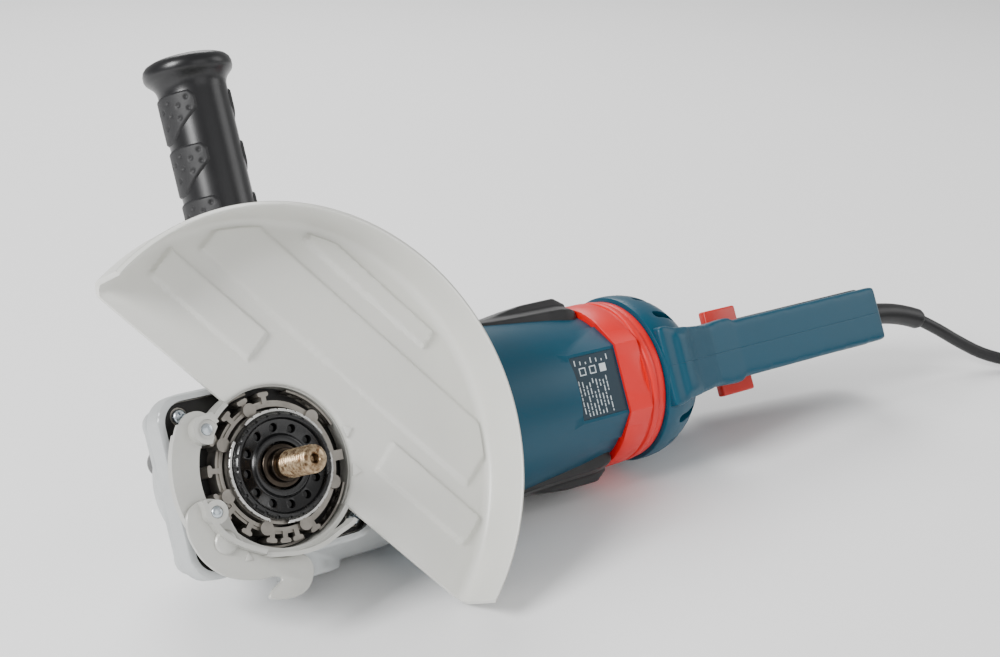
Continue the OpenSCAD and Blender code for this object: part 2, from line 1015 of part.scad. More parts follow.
module cord() {
    color("black")
        level()
            swept_tube(cord_route, cord_d / 2);
}

module cord_coil() {
    color("black")
        level()
            translate(coil_at)
                rotate_extrude($fn = 96)
                    translate([coil_r - coil_columns * cord_d / 2, coil_z])
                        square([coil_columns * cord_d, coil_rows * cord_d]);
}

module cord_tie() {
    high = coil_z + coil_rows * cord_d;
    half = coil_columns * cord_d / 2;
    color("dimgray")
        level()
            translate(coil_at)
                rotate([0, 0, -35])
                    difference() {
                        block([coil_r - half - 1.8, -5, 0], [coil_r + half + 1.8, 5, high + 1]);
                        rotate_extrude($fn = 96)
                            translate([coil_r - half, coil_z])
                                square([2 * half, coil_rows * cord_d]);
                    }
}

module cord_tail() {
    color("black")
        level()
            swept_tube(tail_route, cord_d / 2);
}

module plug_relief() {
    color("black")
        level()
            translate(plug_at) {
                rod_x(36, 56, 6.4);
            }
}

module plug_body() {
    color("black")
        level()
            translate(plug_at)
                rotate([0, 90, 0])
                    rotate_extrude($fn = 96)
                        polygon([[0, 0], [17.6, 0], [18.4, 0.8], [18.4, 12], [15.5, 16], [13, 24], [10.5, 36], [0, 36]]);
}

module plug_pins() {
    color("silver")
        level()
            translate(plug_at)
                for (s = [-1, 1])
                    rod_x(-19, 0, 2.4, s * 9.5, 0);
}

// ---------------------------------------------------------------- assembly
gear_housing();
bearing_flange();
bearing_cover();
retaining_ring();
flange_screws();
spindle_bearing();
spindle_bush();
pinion_bearing();
spindle();
crown_gear();
spindle_lock_button();
lock_spring();
motor_housing();
air_baffle();
stator_core();
field_coils();
rear_bearing();
brush_holders();
carbon_brushes();
brush_springs();
housing_screws();
armature_shaft();
pinion_gear();
rotor_core();
rotor_windings();
commutator();
cooling_fan();
label_plate();
bumper_left();
bumper_right();
vibration_ring();
handle_base();
handle_shell_left();
handle_shell_right();
soft_grip();
handle_screws();
switch_block();
trigger_pin();
trigger();
lock_off_catch();
handle_release();
guard_shell();
clamp_band();
clamp_link();
link_pin();
lever_rivet();
clamp_lever();
strap_hook();
hook_pin();
side_handle_grip();
side_handle_stud();
cord_relief();
cord();
cord_coil();
cord_tie();
cord_tail();
plug_relief();
plug_body();
plug_pins();
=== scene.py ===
import json
import math

import bpy
from mathutils import Matrix, Vector


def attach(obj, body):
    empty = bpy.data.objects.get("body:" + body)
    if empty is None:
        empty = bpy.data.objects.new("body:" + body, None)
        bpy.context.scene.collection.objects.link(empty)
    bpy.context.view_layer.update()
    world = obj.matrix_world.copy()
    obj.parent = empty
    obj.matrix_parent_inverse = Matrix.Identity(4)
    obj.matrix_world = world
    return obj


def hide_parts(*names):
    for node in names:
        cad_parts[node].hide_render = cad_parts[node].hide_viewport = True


bl_info = {
    "name": "Angle grinder",
    "version": (1, 0, 0),
    "blender": (4, 5, 0),
    "location": "3D View > Sidebar > Grinder",
    "description": "Builds the visible pieces of a large angle grinder round its frame",
    "category": "Add Mesh",
}

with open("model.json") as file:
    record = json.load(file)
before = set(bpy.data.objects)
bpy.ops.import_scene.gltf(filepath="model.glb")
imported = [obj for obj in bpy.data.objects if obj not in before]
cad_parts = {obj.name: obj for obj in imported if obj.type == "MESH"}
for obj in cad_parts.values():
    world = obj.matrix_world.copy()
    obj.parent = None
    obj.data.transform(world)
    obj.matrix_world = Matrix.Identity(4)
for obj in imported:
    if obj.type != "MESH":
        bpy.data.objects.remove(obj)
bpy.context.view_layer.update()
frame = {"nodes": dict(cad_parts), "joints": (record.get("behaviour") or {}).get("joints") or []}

# ---------------------------------------------------------------- the tool's own axes
# Pieces are modelled in millimetres on the tool's axes and then laid where the frame has them:
# X rearward along the motor, -Y where the spindle points, +Z to the side handle.
MM = 0.001
TINY = 0.002
JOINTS = {joint["name"]: joint for joint in frame["joints"]}
ZERO = Vector(JOINTS["armature_spin"]["pos_m"])
REARWARD = Vector(JOINTS["armature_spin"]["axis"]).normalized()
DISCWARD = Vector(JOINTS["guard_turn"]["axis"]).normalized()
SIDEWARD = REARWARD.cross(-DISCWARD)
TOOL = Matrix((REARWARD, -DISCWARD, SIDEWARD)).transposed().to_4x4()
TOOL.translation = ZERO
TOOL = TOOL @ Matrix.Diagonal((MM, MM, MM, 1))
# Z along the spindle, with X and Y in the plane of the disc
ON_SPINDLE = Matrix.Rotation(math.radians(90), 4, "X")
# Z along the motor
ON_MOTOR = Matrix.Rotation(math.radians(90), 4, "Y")
# Level millimetres beside the tool, on the surface
LEVEL = Matrix.Translation((ZERO.x, ZERO.y, 0)) @ Matrix.Diagonal((MM, MM, MM, 1))


def linear(code):
    """Linear colour of an sRGB hex code."""
    parts = [int(code[i:i + 2], 16) / 255 for i in (0, 2, 4)]
    return tuple(p / 12.92 if p <= 0.04045 else ((p + 0.055) / 1.055) ** 2.4 for p in parts)


class GrinderSizes(bpy.types.PropertyGroup):
    """Sizes of the pieces that give the tool its look"""
    guard_radius: bpy.props.FloatProperty(
        name="Guard radius", description="Outer radius of the guard", default=0.127, unit="LENGTH")
    guard_drop: bpy.props.FloatProperty(
        name="Guard drop", description="From the motor axis to the guard's flat", default=0.058,
        unit="LENGTH")
    rim_depth: bpy.props.FloatProperty(
        name="Rim depth", description="Depth of the guard's rim", default=0.030, unit="LENGTH")
    guard_clock: bpy.props.FloatProperty(
        name="Guard direction", description="Direction of the guard's middle", default=math.radians(39.2),
        subtype="ANGLE")
    rib_height: bpy.props.FloatProperty(
        name="Rib height", description="Height of the guard's pressed ribs", default=0.0022, unit="LENGTH")
    thread_pitch: bpy.props.FloatProperty(
        name="Thread pitch", description="Pitch of the spindle thread", default=0.002, unit="LENGTH")
    cord_diameter: bpy.props.FloatProperty(
        name="Cord diameter", description="Diameter of the mains cord", default=0.0085, unit="LENGTH")
    cord_length: bpy.props.FloatProperty(
        name="Cord length", description="Whole length of the mains cord", default=4.0, unit="LENGTH")


class GrinderColours(bpy.types.PropertyGroup):
    """Colours of the finishes"""
    body: bpy.props.FloatVectorProperty(
        name="Body", description="Moulded nylon casings", subtype="COLOR", default=linear("004459"))
    ring: bpy.props.FloatVectorProperty(
        name="Ring", description="Vibration ring", subtype="COLOR", default=linear("E00B06"))
    trigger: bpy.props.FloatVectorProperty(
        name="Trigger", description="Trigger paddle", subtype="COLOR", default=linear("C81E10"))
    guard: bpy.props.FloatVectorProperty(
        name="Guard", description="Powder coat of the guard and clamp", subtype="COLOR",
        default=linear("D6D6D0"))
    floor: bpy.props.FloatVectorProperty(
        name="Floor", description="Studio floor", subtype="COLOR", default=linear("FCFCFC"))


def sizes():
    """The size properties of the scene."""
    return bpy.context.scene.grinder_sizes


def colours():
    """The colour properties of the scene."""
    return bpy.context.scene.grinder_colours


# ---------------------------------------------------------------- modelling helpers
def pick(*objects):
    """Selects only these objects and makes the first active."""
    bpy.ops.object.select_all(action="DESELECT")
    for obj in objects:
        obj.select_set(True)
    bpy.context.view_layer.objects.active = objects[0]


def move_by(obj, matrix):
    """Moves an object and puts the place into its mesh."""
    pick(obj)
    obj.matrix_world = matrix @ obj.matrix_world
    bpy.ops.object.transform_apply(location=True, rotation=True, scale=True)
    return obj


def spun(obj, degrees, axis="Z"):
    """Turns an object about one of the axes through the origin."""
    return move_by(obj, Matrix.Rotation(math.radians(degrees), 4, axis))


def shifted(obj, x, y, z):
    """Shifts an object."""
    return move_by(obj, Matrix.Translation((x, y, z)))


def copied(obj):
    """A second object like this one, with its own mesh."""
    pick(obj)
    bpy.ops.object.duplicate()
    return bpy.context.object


def join(name, *pieces):
    """Joins separate solids into one object."""
    pick(*pieces)
    bpy.ops.object.join()
    pieces[0].name = pieces[0].data.name = name
    return pieces[0]


def repeated(name, pattern, places):
    """One object made of a copy of the pattern at each place; the pattern itself is used up."""
    pieces = [move_by(copied(pattern), place) for place in places]
    bpy.data.objects.remove(pattern, do_unlink=True)
    return join(name, *pieces)


def named(name):
    """Names the object just added and puts its place into its mesh."""
    obj = bpy.context.object
    obj.name = obj.data.name = name
    bpy.ops.object.transform_apply(location=True, rotation=True, scale=True)
    return obj


def turned(name, profile, steps=96):
    """Solid turned about Z: a circle extruded and resized from point (radius, height) to point."""
    radius, height = profile[0]
    bpy.ops.object.select_all(action="DESELECT")
    bpy.ops.mesh.primitive_circle_add(vertices=steps, radius=max(radius, TINY), location=(0, 0, height))
    obj = named(name)
    bpy.ops.object.mode_set(mode="EDIT")
    bpy.ops.mesh.select_all(action="SELECT")
    for (r0, h0), (r1, h1) in zip(profile, profile[1:]):
        bpy.ops.mesh.extrude_region_move(TRANSFORM_OT_translate={"value": (0, 0, h1 - h0)})
        ratio = max(r1, TINY) / max(r0, TINY)
        bpy.ops.transform.resize(value=(ratio, ratio, 1), center_override=(0, 0, h1))
    bpy.ops.mesh.select_all(action="SELECT")
    bpy.ops.mesh.remove_doubles(threshold=4 * TINY)
    bpy.ops.mesh.normals_make_consistent(inside=False)
    bpy.ops.object.mode_set(mode="OBJECT")
    return obj


def plate(name, outline, low, high):
    """Slab with an outline of points (x, y) between two heights: a shaped and extruded circle."""
    bpy.ops.object.select_all(action="DESELECT")
    bpy.ops.mesh.primitive_circle_add(vertices=len(outline), radius=1, fill_type="NGON")
    obj = named(name)
    for vertex, point in zip(obj.data.vertices, outline):
        vertex.co = (point[0], point[1], low)
    bpy.ops.object.mode_set(mode="EDIT")
    bpy.ops.mesh.select_all(action="SELECT")
    bpy.ops.mesh.extrude_region_move(TRANSFORM_OT_translate={"value": (0, 0, high - low)})
    bpy.ops.mesh.select_all(action="SELECT")
    bpy.ops.mesh.normals_make_consistent(inside=False)
    bpy.ops.object.mode_set(mode="OBJECT")
    return obj


def block(name, low, high):
    """Box from its lowest corner to its highest."""
    size = [b - a for a, b in zip(low, high)]
    middle = [(a + b) / 2 for a, b in zip(low, high)]
    bpy.ops.object.select_all(action="DESELECT")
    bpy.ops.mesh.primitive_cube_add(size=1, location=middle, scale=size)
    return named(name)


def rod(name, low, high, radius, at=(0, 0), steps=48):
    """Cylinder along Z."""
    bpy.ops.object.select_all(action="DESELECT")
    bpy.ops.mesh.primitive_cylinder_add(
        vertices=steps, radius=radius, depth=high - low, location=(at[0], at[1], (low + high) / 2))
    return named(name)


def combine(obj, other, operation):
    """Boolean of two closed solids; the second is used up."""
    modifier = obj.modifiers.new("Combine", "BOOLEAN")
    modifier.operation = operation
    modifier.object = other
    modifier.solver = "MANIFOLD"
    pick(obj)
    bpy.ops.object.modifier_apply(modifier=modifier.name)
    bpy.data.objects.remove(other, do_unlink=True)
    if not obj.data.vertices:
        raise RuntimeError(f"{obj.name}: nothing is left after {operation}")
    return obj


def cut(obj, *others):
    """Takes the others out of a solid."""
    for other in others:
        combine(obj, other, "DIFFERENCE")
    return obj


def fuse(obj, *others):
    """Adds the others to a solid."""
    for other in others:
        combine(obj, other, "UNION")
    return obj


def common(obj, other):
    """Keeps what two solids share."""
    return combine(obj, other, "INTERSECT")


def bevel(obj, width, segments=2, angle=35):
    """Rounds the edges that are sharper than the angle."""
    modifier = obj.modifiers.new("Bevel", "BEVEL")
    modifier.width = width
    modifier.segments = segments
    modifier.limit_method = "ANGLE"
    modifier.angle_limit = math.radians(angle)
    pick(obj)
    bpy.ops.object.modifier_apply(modifier=modifier.name)
    return obj


def cast(obj, voxel, rounds):
    """Melts the joints of a solid together, as in a casting."""
    remesh = obj.modifiers.new("Remesh", "REMESH")
    remesh.mode = "VOXEL"
    remesh.voxel_size = voxel
    smooth = obj.modifiers.new("Smooth", "SMOOTH")
    smooth.factor = 0.5
    smooth.iterations = rounds
    pick(obj)
    bpy.ops.object.modifier_apply(modifier=remesh.name)
    bpy.ops.object.modifier_apply(modifier=smooth.name)
    return obj


def arc(radius, start, end, step=4):
    """Points on an arc, angles in degrees."""
    count = max(2, round(abs(end - start) / step) + 1)
    angles = [math.radians(start + (end - start) * i / (count - 1)) for i in range(count)]
    return [(radius * math.cos(a), radius * math.sin(a)) for a in angles]


def strip(inner, outer, start, end, step=4):
    """Outline of a curved strip between two radii."""
    return arc(outer, start, end, step) + arc(inner, end, start, step)


def round_rectangle(half_x, half_y, corner, step=10):
    """Outline of a rectangle with round corners."""
    points = []
    for sx, sy, start in ((1, 1, 0), (-1, 1, 90), (-1, -1, 180), (1, -1, 270)):
        for x, y in arc(corner, start, start + 90, step):
            points.append((sx * (half_x - corner) + x, sy * (half_y - corner) + y))
    return points


def between_points(a, b, c, d, t):
    """Point between b and c on a smooth line through a, b, c and d."""
    return 0.5 * (2 * b + (c - a) * t + (2 * a - 5 * b + 4 * c - d) * t ** 2
                  + (3 * b - a - 3 * c + d) * t ** 3)


def curved(points, steps=5):
    """Closed outline that runs smoothly through the points."""
    count = len(points)
    made = []
    for i in range(count):
        a, b, c, d = [Vector(points[(i + k) % count]) for k in (-1, 0, 1, 2)]
        for k in range(steps):
            made.append(tuple(between_points(a, b, c, d, k / steps)))
    return made


def shift(points, dx, dy):
    """Moves an outline."""
    return [(x + dx, y + dy) for x, y in points]


def ease(value, start, end):
    """Smooth step from 0 at start to 1 at end."""
    t = min(1, max(0, (value - start) / (end - start)))
    return t * t * (3 - 2 * t)


def settle(obj, place, body, slot, nodes=(), angle=35, look=None):
    """Lays a finished piece in the frame, smooths it, paints it like its slot and ties it to its body."""
    move_by(obj, place)
    pick(obj)
    bpy.ops.object.shade_smooth_by_angle(angle=math.radians(angle))
    obj.data.materials.clear()
    obj.data.materials.append(finish(look or slot))
    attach(obj, body)
    if nodes:
        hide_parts(*nodes)
    return obj


# ---------------------------------------------------------------- materials
def add(tree, kind, settings=None, inputs=None, links=None):
    """Adds a shader node with its settings, input values and links."""
    node = tree.nodes.new("ShaderNode" + kind)
    for key, value in (settings or {}).items():
        setattr(node, key, value)
    for key, value in (inputs or {}).items():
        node.inputs[key].default_value = value
    for key, (source, output) in (links or {}).items():
        tree.links.new(source.outputs[output], node.inputs[key])
    return node


def per_metre(size_mm):
    """Scale of a texture on metres whose grains are this wide."""
    return 1 / (size_mm * MM)


def surface(name, dark, light, rough, mottle_mm, grain_mm, grain_depth, metallic=0.0, sockets=None):
    """Finish whose colour drifts from dark to light and whose fine grain is real relief."""
    material = bpy.data.materials.new(name)
    material.use_nodes = True
    tree = material.node_tree
    shader = tree.nodes["Principled BSDF"]
    shader.inputs["Metallic"].default_value = metallic
    for key, value in (sockets or {}).items():
        shader.inputs[key].default_value = value
    where = add(tree, "TexCoord")
    mottle = add(tree, "TexNoise", {}, {"Scale": per_metre(mottle_mm), "Detail": 4.0, "Roughness": 0.6},
                 {"Vector": (where, "Object")})
    mix = add(tree, "Mix", {"data_type": "RGBA"}, {}, {"Factor": (mottle, "Fac")})
    mix.inputs[6].default_value = (*dark, 1)
    mix.inputs[7].default_value = (*light, 1)
    tree.links.new(mix.outputs[2], shader.inputs["Base Color"])
    grain = add(tree, "TexNoise", {}, {"Scale": per_metre(grain_mm), "Detail": 2.0},
                {"Vector": (where, "Object")})
    gloss = add(tree, "MapRange", {}, {"To Min": rough[0], "To Max": rough[1]}, {"Value": (mottle, "Fac")})
    tree.links.new(gloss.outputs[0], shader.inputs["Roughness"])
    bump = add(tree, "Bump", {}, {"Strength": 1.0, "Distance": grain_depth * MM}, {"Height": (grain, "Fac")})
    tree.links.new(bump.outputs[0], shader.inputs["Normal"])
    return material


def shade(colour, amount):
    """A colour made darker or lighter."""
    return tuple(min(1, c * amount) for c in colour)


def powder_coat():
    """Polyester powder coat on sheet steel: pale, satin, with the faint orange peel of a sprayed film."""
    tone = colours().guard[:]
    return surface("guard_powder_coat", shade(tone, 0.94), shade(tone, 1.03), (0.30, 0.42), 45, 1.1, 0.03,
                   sockets={"Coat Weight": 0.15, "Coat Roughness": 0.25})


def clamp_paint():
    """The guard's powder coat on the small clamp stampings: thinner, duller and greyer from handling."""
    tone = colours().guard[:]
    return surface("clamp_powder_coat", shade(tone, 0.62), shade(tone, 0.78), (0.26, 0.4), 16, 0.9, 0.03,
                   metallic=0.25)


def cast_aluminium():
    """Pressure die-cast aluminium, blasted: grey, fine grained, faint dirt in its colour."""
    return surface("cast_aluminium_blasted", linear("6E6A64"), linear("ABA69E"), (0.3, 0.46), 9, 0.5, 0.05,
                   0.85)


def painted_casting():
    """Die-cast aluminium under a silver-grey lacquer: pale with fine blasted grain."""
    return surface("gear_housing_lacquer", linear("A9ACAD"), linear("C3C6C6"), (0.34, 0.46), 14, 0.6, 0.05,
                   0.35)


def grease_and_painted_shade():
    """Nearly black: painted shade of the deep groove together with old greasy dirt and grinding dust on
    aluminium, with a dull shine.
    """
    return surface("grease_and_painted_shade", linear("030302"), linear("12100D"), (0.3, 0.55), 5, 0.6, 0.08, 0.3)


def black_nylon():
    """Glass-filled nylon moulding: deep black with a satin skin."""
    return surface("black_nylon", linear("050506"), linear("0C0C0D"), (0.2, 0.32), 10, 0.4, 0.015,
                   sockets={"IOR": 1.53})


def bright_steel():
    """Stamped bright steel strip."""
    return surface("bright_steel_strip", linear("A5A5A3"), linear("DAD9D6"), (0.2, 0.34), 6, 0.3, 0.01, 1.0)


def zinc_plate():
    """Clear passivated zinc plate: bluish bright metal."""
    return surface("zinc_plate", linear("9DA8B0"), linear("D8DEE2"), (0.22, 0.36), 3, 0.25, 0.01, 1.0)


def bearing_steel():
    """Ground bearing steel."""
    return surface("ground_bearing_steel", linear("A2A4A6"), linear("CFD1D3"), (0.12, 0.2), 8, 0.2, 0.004,
                   1.0)


def oiled_bronze():
    """Sintered bronze with oil in its pores."""
    return surface("oiled_bronze", linear("7A5B33"), linear("B08A50"), (0.3, 0.45), 3, 0.3, 0.02, 1.0)


def worn_spindle():
    """Hardened spindle steel: golden-brown oxide worn bright on the crests, with brown dirt in the thread."""
    material = surface("worn_spindle_steel", linear("6A523C"), linear("B7A284"), (0.24, 0.42), 2.2, 0.4, 0.03,
                       1.0)
    ramp = material.node_tree.nodes.new("ShaderNodeValToRGB")
    mottle = [n for n in material.node_tree.nodes if n.type == "TEX_NOISE"][0]
    mix = [n for n in material.node_tree.nodes if n.type == "MIX"][0]
    ramp.color_ramp.elements[0].position = 0.38
    ramp.color_ramp.elements[1].position = 0.62
    material.node_tree.links.new(mottle.outputs["Fac"], ramp.inputs["Fac"])
    material.node_tree.links.new(ramp.outputs["Color"], mix.inputs["Factor"])
    return material


def gear_steel():
    """Case-hardened gear steel, dark and oiled."""
    return surface("oiled_gear_steel", linear("2A2521"), linear("4C443C"), (0.22, 0.36), 6, 0.4, 0.02, 1.0)


def spring_wire():
    """Plain drawn spring steel."""
    return surface("spring_steel", linear("6A6B6D"), linear("9A9B9D"), (0.25, 0.4), 3, 0.3, 0.01, 1.0)


def teal_nylon():
    """Teal polyamide moulding: saturated, with a fine eroded skin that shines softly."""
    tone = colours().body[:]
    return surface("teal_nylon_moulding", shade(tone, 0.88), shade(tone, 1.08), (0.34, 0.44), 60, 0.45, 0.03,
                   sockets={"IOR": 1.53, "Specular IOR Level": 0.3})


def laminations():
    """Stacked electrical steel sheets: thin dark lines along the stack."""
    return surface("electrical_steel", linear("4A4C50"), linear("84878C"), (0.35, 0.5), 4, 0.6, 0.05, 0.9)


def copper_wire():
    """Enamelled copper windings under baked varnish."""
    return surface("varnished_copper", linear("5A2A12"), linear("B4622E"), (0.25, 0.4), 2, 0.9, 0.25, 0.8)


def commutator_copper():
    """Turned copper bars, browned where the brushes run."""
    return surface("commutator_copper", linear("6B4228"), linear("C08452"), (0.2, 0.35), 4, 0.4, 0.02, 1.0)


def holder_brass():
    """Folded brass sheet."""
    return surface("brass_sheet", linear("9C7C3A"), linear("C9A759"), (0.22, 0.35), 5, 0.3, 0.01, 1.0)


def graphite():
    """Pressed graphite: black with a grey sheen."""
    return surface("pressed_graphite", linear("17171A"), linear("2B2B30"), (0.4, 0.55), 2, 0.3, 0.02)


def fan_nylon():
    """Grey moulded nylon fan."""
    return surface("grey_nylon", linear("3A3B3D"), linear("515356"), (0.4, 0.5), 12, 0.4, 0.02)


def label_film():
    """Dark printed polyester film: smooth and satin."""
    return surface("label_film", linear("06222F"), linear("0A2D3C"), (0.3, 0.36), 30, 0.8, 0.004,
                   sockets={"Coat Weight": 0.3, "Coat Roughness": 0.15})


def white_print():
    """Flat white ink on the label."""
    return surface("white_ink", linear("B9C6CC"), linear("D9E2E6"), (0.4, 0.5), 6, 0.8, 0.004)


def black_rubber():
    """Moulded thermoplastic rubber: charcoal black, matt, with a leathery fine texture."""
    return surface("black_soft_rubber", linear("09090A"), linear("121214"), (0.42, 0.56), 16, 0.7, 0.05,
                   sockets={"Sheen Weight": 0.12, "Sheen Roughness": 0.4})


def grip_core():
    """Hard black core of the side handle: satin moulding that catches soft highlights."""
    return surface("grip_core_black", linear("09090B"), linear("111114"), (0.26, 0.36), 20, 0.5, 0.02,
                   sockets={"IOR": 1.5})


def grip_patch():
    """Softer dark grey rubber of the side handle's patches, finely pitted."""
    return surface("grip_patch_rubber", linear("161617"), linear("232325"), (0.5, 0.62), 10, 0.8, 0.08)


def red_elastomer():
    """Bright red elastomer of the vibration ring: satin and even."""
    tone = colours().ring[:]
    return surface("red_elastomer", shade(tone, 0.9), shade(tone, 1.0), (0.36, 0.46), 30, 0.6, 0.02,
                   sockets={"Subsurface Weight": 0.05})


def red_moulding():
    """Red trigger plastic: slightly glossy moulding."""
    tone = colours().trigger[:]
    return surface("red_trigger_plastic", shade(tone, 0.85), shade(tone, 1.0), (0.3, 0.4), 20, 0.5, 0.02,
                   sockets={"Subsurface Weight": 0.08})


def cord_sheath():
    """Rubber flex sheath: black, semi-matt, with faint dust."""
    return surface("rubber_sheath", linear("070708"), linear("101012"), (0.36, 0.5), 12, 0.5, 0.03)


def tie_strap():
    """Black rubber strap round the coil."""
    return surface("rubber_strap", linear("0E0E10"), linear("19191B"), (0.5, 0.62), 8, 0.6, 0.05)


def nickel_plate():
    """Nickel-plated brass pins."""
    return surface("nickel_plate", linear("B8B4A8"), linear("DCD9D0"), (0.12, 0.22), 4, 0.2, 0.004, 1.0)


def studio_floor():
    """Pale seamless studio board, very faintly uneven."""
    tone = colours().floor[:]
    return surface("studio_board", shade(tone, 0.99), shade(tone, 1.0), (0.6, 0.7), 400, 3, 0.02)


FINISHES = {
    "cast_aluminium": cast_aluminium, "black_plastic": black_nylon, "light_ring": bright_steel,
    "zinc_steel": zinc_plate, "bearing_steel": bearing_steel, "bronze": oiled_bronze,
    "spindle_steel": worn_spindle, "gear_steel": gear_steel, "spring_steel": spring_wire,
    "blue_nylon": teal_nylon, "lamination_steel": laminations, "copper_wire": copper_wire,
    "commutator_copper": commutator_copper, "brush_brass": holder_brass, "carbon": graphite,
    "fan_plastic": fan_nylon, "label_film": label_film, "black_rubber": black_rubber,
    "red_rubber": red_elastomer, "red_plastic": red_moulding, "guard_paint": powder_coat,
    "side_grip": grip_core, "cord_rubber": cord_sheath, "tie_rubber": tie_strap, "nickel": nickel_plate,
    "casting_lacquer": painted_casting, "clamp": clamp_paint, "grease_and_shade": grease_and_painted_shade, "patch": grip_patch,
    "ink": white_print, "floor": studio_floor,
}
MADE = {}


def finish(slot):
    """The material of a slot, made once."""
    if slot not in MADE:
        MADE[slot] = FINISHES[slot]()
    return MADE[slot]


# ---------------------------------------------------------------- stage and cord
CAMERA_AT = (-0.58557, -0.71998, 0.43860)
CAMERA_AZIMUTH = -37.464
CAMERA_ELEVATION = 20.018
CAMERA_ROLL = 1.132
CAMERA_LENS = 61.36


def build_camera():
    """Camera on the left in front of the tool, a little above it."""
    bpy.ops.object.camera_add(location=CAMERA_AT)
    camera = bpy.context.object
    camera.name = "studio_camera"
    azimuth, elevation = math.radians(CAMERA_AZIMUTH), math.radians(CAMERA_ELEVATION)
    camera.rotation_mode = "XYZ"
    look = Matrix.Rotation(azimuth, 4, "Z") @ Matrix.Rotation(math.radians(90) - elevation, 4, "X")
    camera.rotation_euler = (look @ Matrix.Rotation(math.radians(CAMERA_ROLL), 4, "Z")).to_euler()
    camera.data.lens = CAMERA_LENS
    camera.data.sensor_width = 36
    camera.data.clip_start = 0.02
    camera.data.clip_end = 60
    bpy.context.scene.camera = camera


def soft_light(name, place, aim, size, power):
    """Large soft square light that looks at a point."""
    bpy.ops.object.light_add(type="AREA", location=place)
    light = bpy.context.object
    light.name = name
    light.data.shape = "SQUARE"
    light.data.size = size
    light.data.energy = power
    light.rotation_euler = (Vector(aim) - Vector(place)).to_track_quat("-Z", "Y").to_euler()


def build_stage():
    """Pale floor, four soft lights and an even sky."""
    bpy.ops.object.select_all(action="DESELECT")
    bpy.ops.mesh.primitive_plane_add(size=60, location=(0, 0, -0.0004))
    floor = named("studio_floor")
    floor.data.materials.append(finish("floor"))
    middle = (0, 0, 0.1)
    soft_light("light_key", (-1.75, -0.35, 1.25), middle, 0.7, 50)
    soft_light("light_back", (0.5, 1.5, 1.7), middle, 1.3, 34)
    soft_light("light_front", (0.2, -2.2, 0.9), middle, 1.6, 9)
    soft_light("light_right", (1.7, -0.8, 0.9), middle, 1.0, 8)
    world = bpy.data.worlds.new("studio_sky")
    world.use_nodes = True
    world.node_tree.nodes["Background"].inputs["Color"].default_value = (1, 1, 1, 1)
    world.node_tree.nodes["Background"].inputs["Strength"].default_value = 0.56
    bpy.context.scene.world = world


# Cord route in level millimetres beside the tool, the same points as the frame's
RELIEF_START = 486
RELIEF_BEND = 138
RELIEF_TURN = 24
RELIEF_LEAN = 25
CORD_POINTS = [
    (558, -10.4, 30.8), (573, -18, 20.8), (587, -28, 12.4), (602, -38.5, 7.4), (618, -47, 5.7),
    (634, -54, 5.3), (652, -59.5, 5.25), (670, -63.6, 5.25), (686.4, -66.3, 5.25)
]
TAIL_POINTS = [
    (672, -183.5, 30.75), (654, -183.5, 29.3), (636, -183.5, 24.7), (620, -183.5, 20), (606, -183.5, 18.6)
]
COIL_AT = (672, -124)
COIL_RADIUS = 51
COIL_BASE = 1
COIL_ROWS = 4
COIL_COLUMNS = 3
COIL_ENTRY = 76
PLUG_AT = (550, -183.5, 18.6)
# Along the motor's own slope but not its lean, for what leaves on the motor axis
SLOPE = Matrix((REARWARD, Vector((0, 1, 0)), REARWARD.cross(Vector((0, 1, 0))))).transposed().to_4x4()


def relief_line(turn):
    """Point of the strain relief's middle line after some degrees of its bend, in level millimetres."""
    turned_by, lean = math.radians(turn), math.radians(RELIEF_LEAN)
    drop = RELIEF_BEND * (1 - math.cos(turned_by))
    point = Vector((
        RELIEF_START + RELIEF_BEND * math.sin(turned_by), -drop * math.sin(lean), -drop * math.cos(lean)))
    return SLOPE @ point + Vector((0, 0, ZERO.z / MM))


def coil_turn(u):
    """Column and row of the cord in the coil after u turns."""
    column, row = 0.0, 0.0
    for level in range(COIL_ROWS):
        first = level * COIL_COLUMNS
        way = 1 if level % 2 == 0 else -1
        for k in range(COIL_COLUMNS - 1):
            column += way * ease(u, first + k + 0.8, first + k + 1)
        if level < COIL_ROWS - 1:
            row += ease(u, first + COIL_COLUMNS - 0.2, first + COIL_COLUMNS)
    return column, row


def cord_path():
    """The whole cord's middle line in level millimetres, from the strain relief to the plug."""
    thick = sizes().cord_diameter / MM
    start = relief_line(RELIEF_TURN)
    free = [start] + [Vector(p) for p in CORD_POINTS]
    path = smooth_line(free, 3)
    turns = COIL_ROWS * COIL_COLUMNS - 1 + (COIL_ENTRY + 90) / 360
    count = round(turns * 40)
    for i in range(1, count):
        u = turns * i / count
        column, row = coil_turn(u)
        radius = COIL_RADIUS + thick * (1 - column)
        angle = math.radians(COIL_ENTRY - 360 * u)
        path.append(Vector((
            COIL_AT[0] + radius * math.cos(angle), COIL_AT[1] + radius * math.sin(angle),
            COIL_BASE + thick * (0.5 + row))))
    return path + smooth_line([Vector(p) for p in TAIL_POINTS], 3)


def smooth_line(points, steps):
    """Open line that runs smoothly through the points."""
    made = []
    for i in range(len(points) - 1):
        a, b, c, d = points[max(i - 1, 0)], points[i], points[i + 1], points[min(i + 2, len(points) - 1)]
        made += [between_points(a, b, c, d, k / steps) for k in range(steps)]
    return made + [points[-1]]


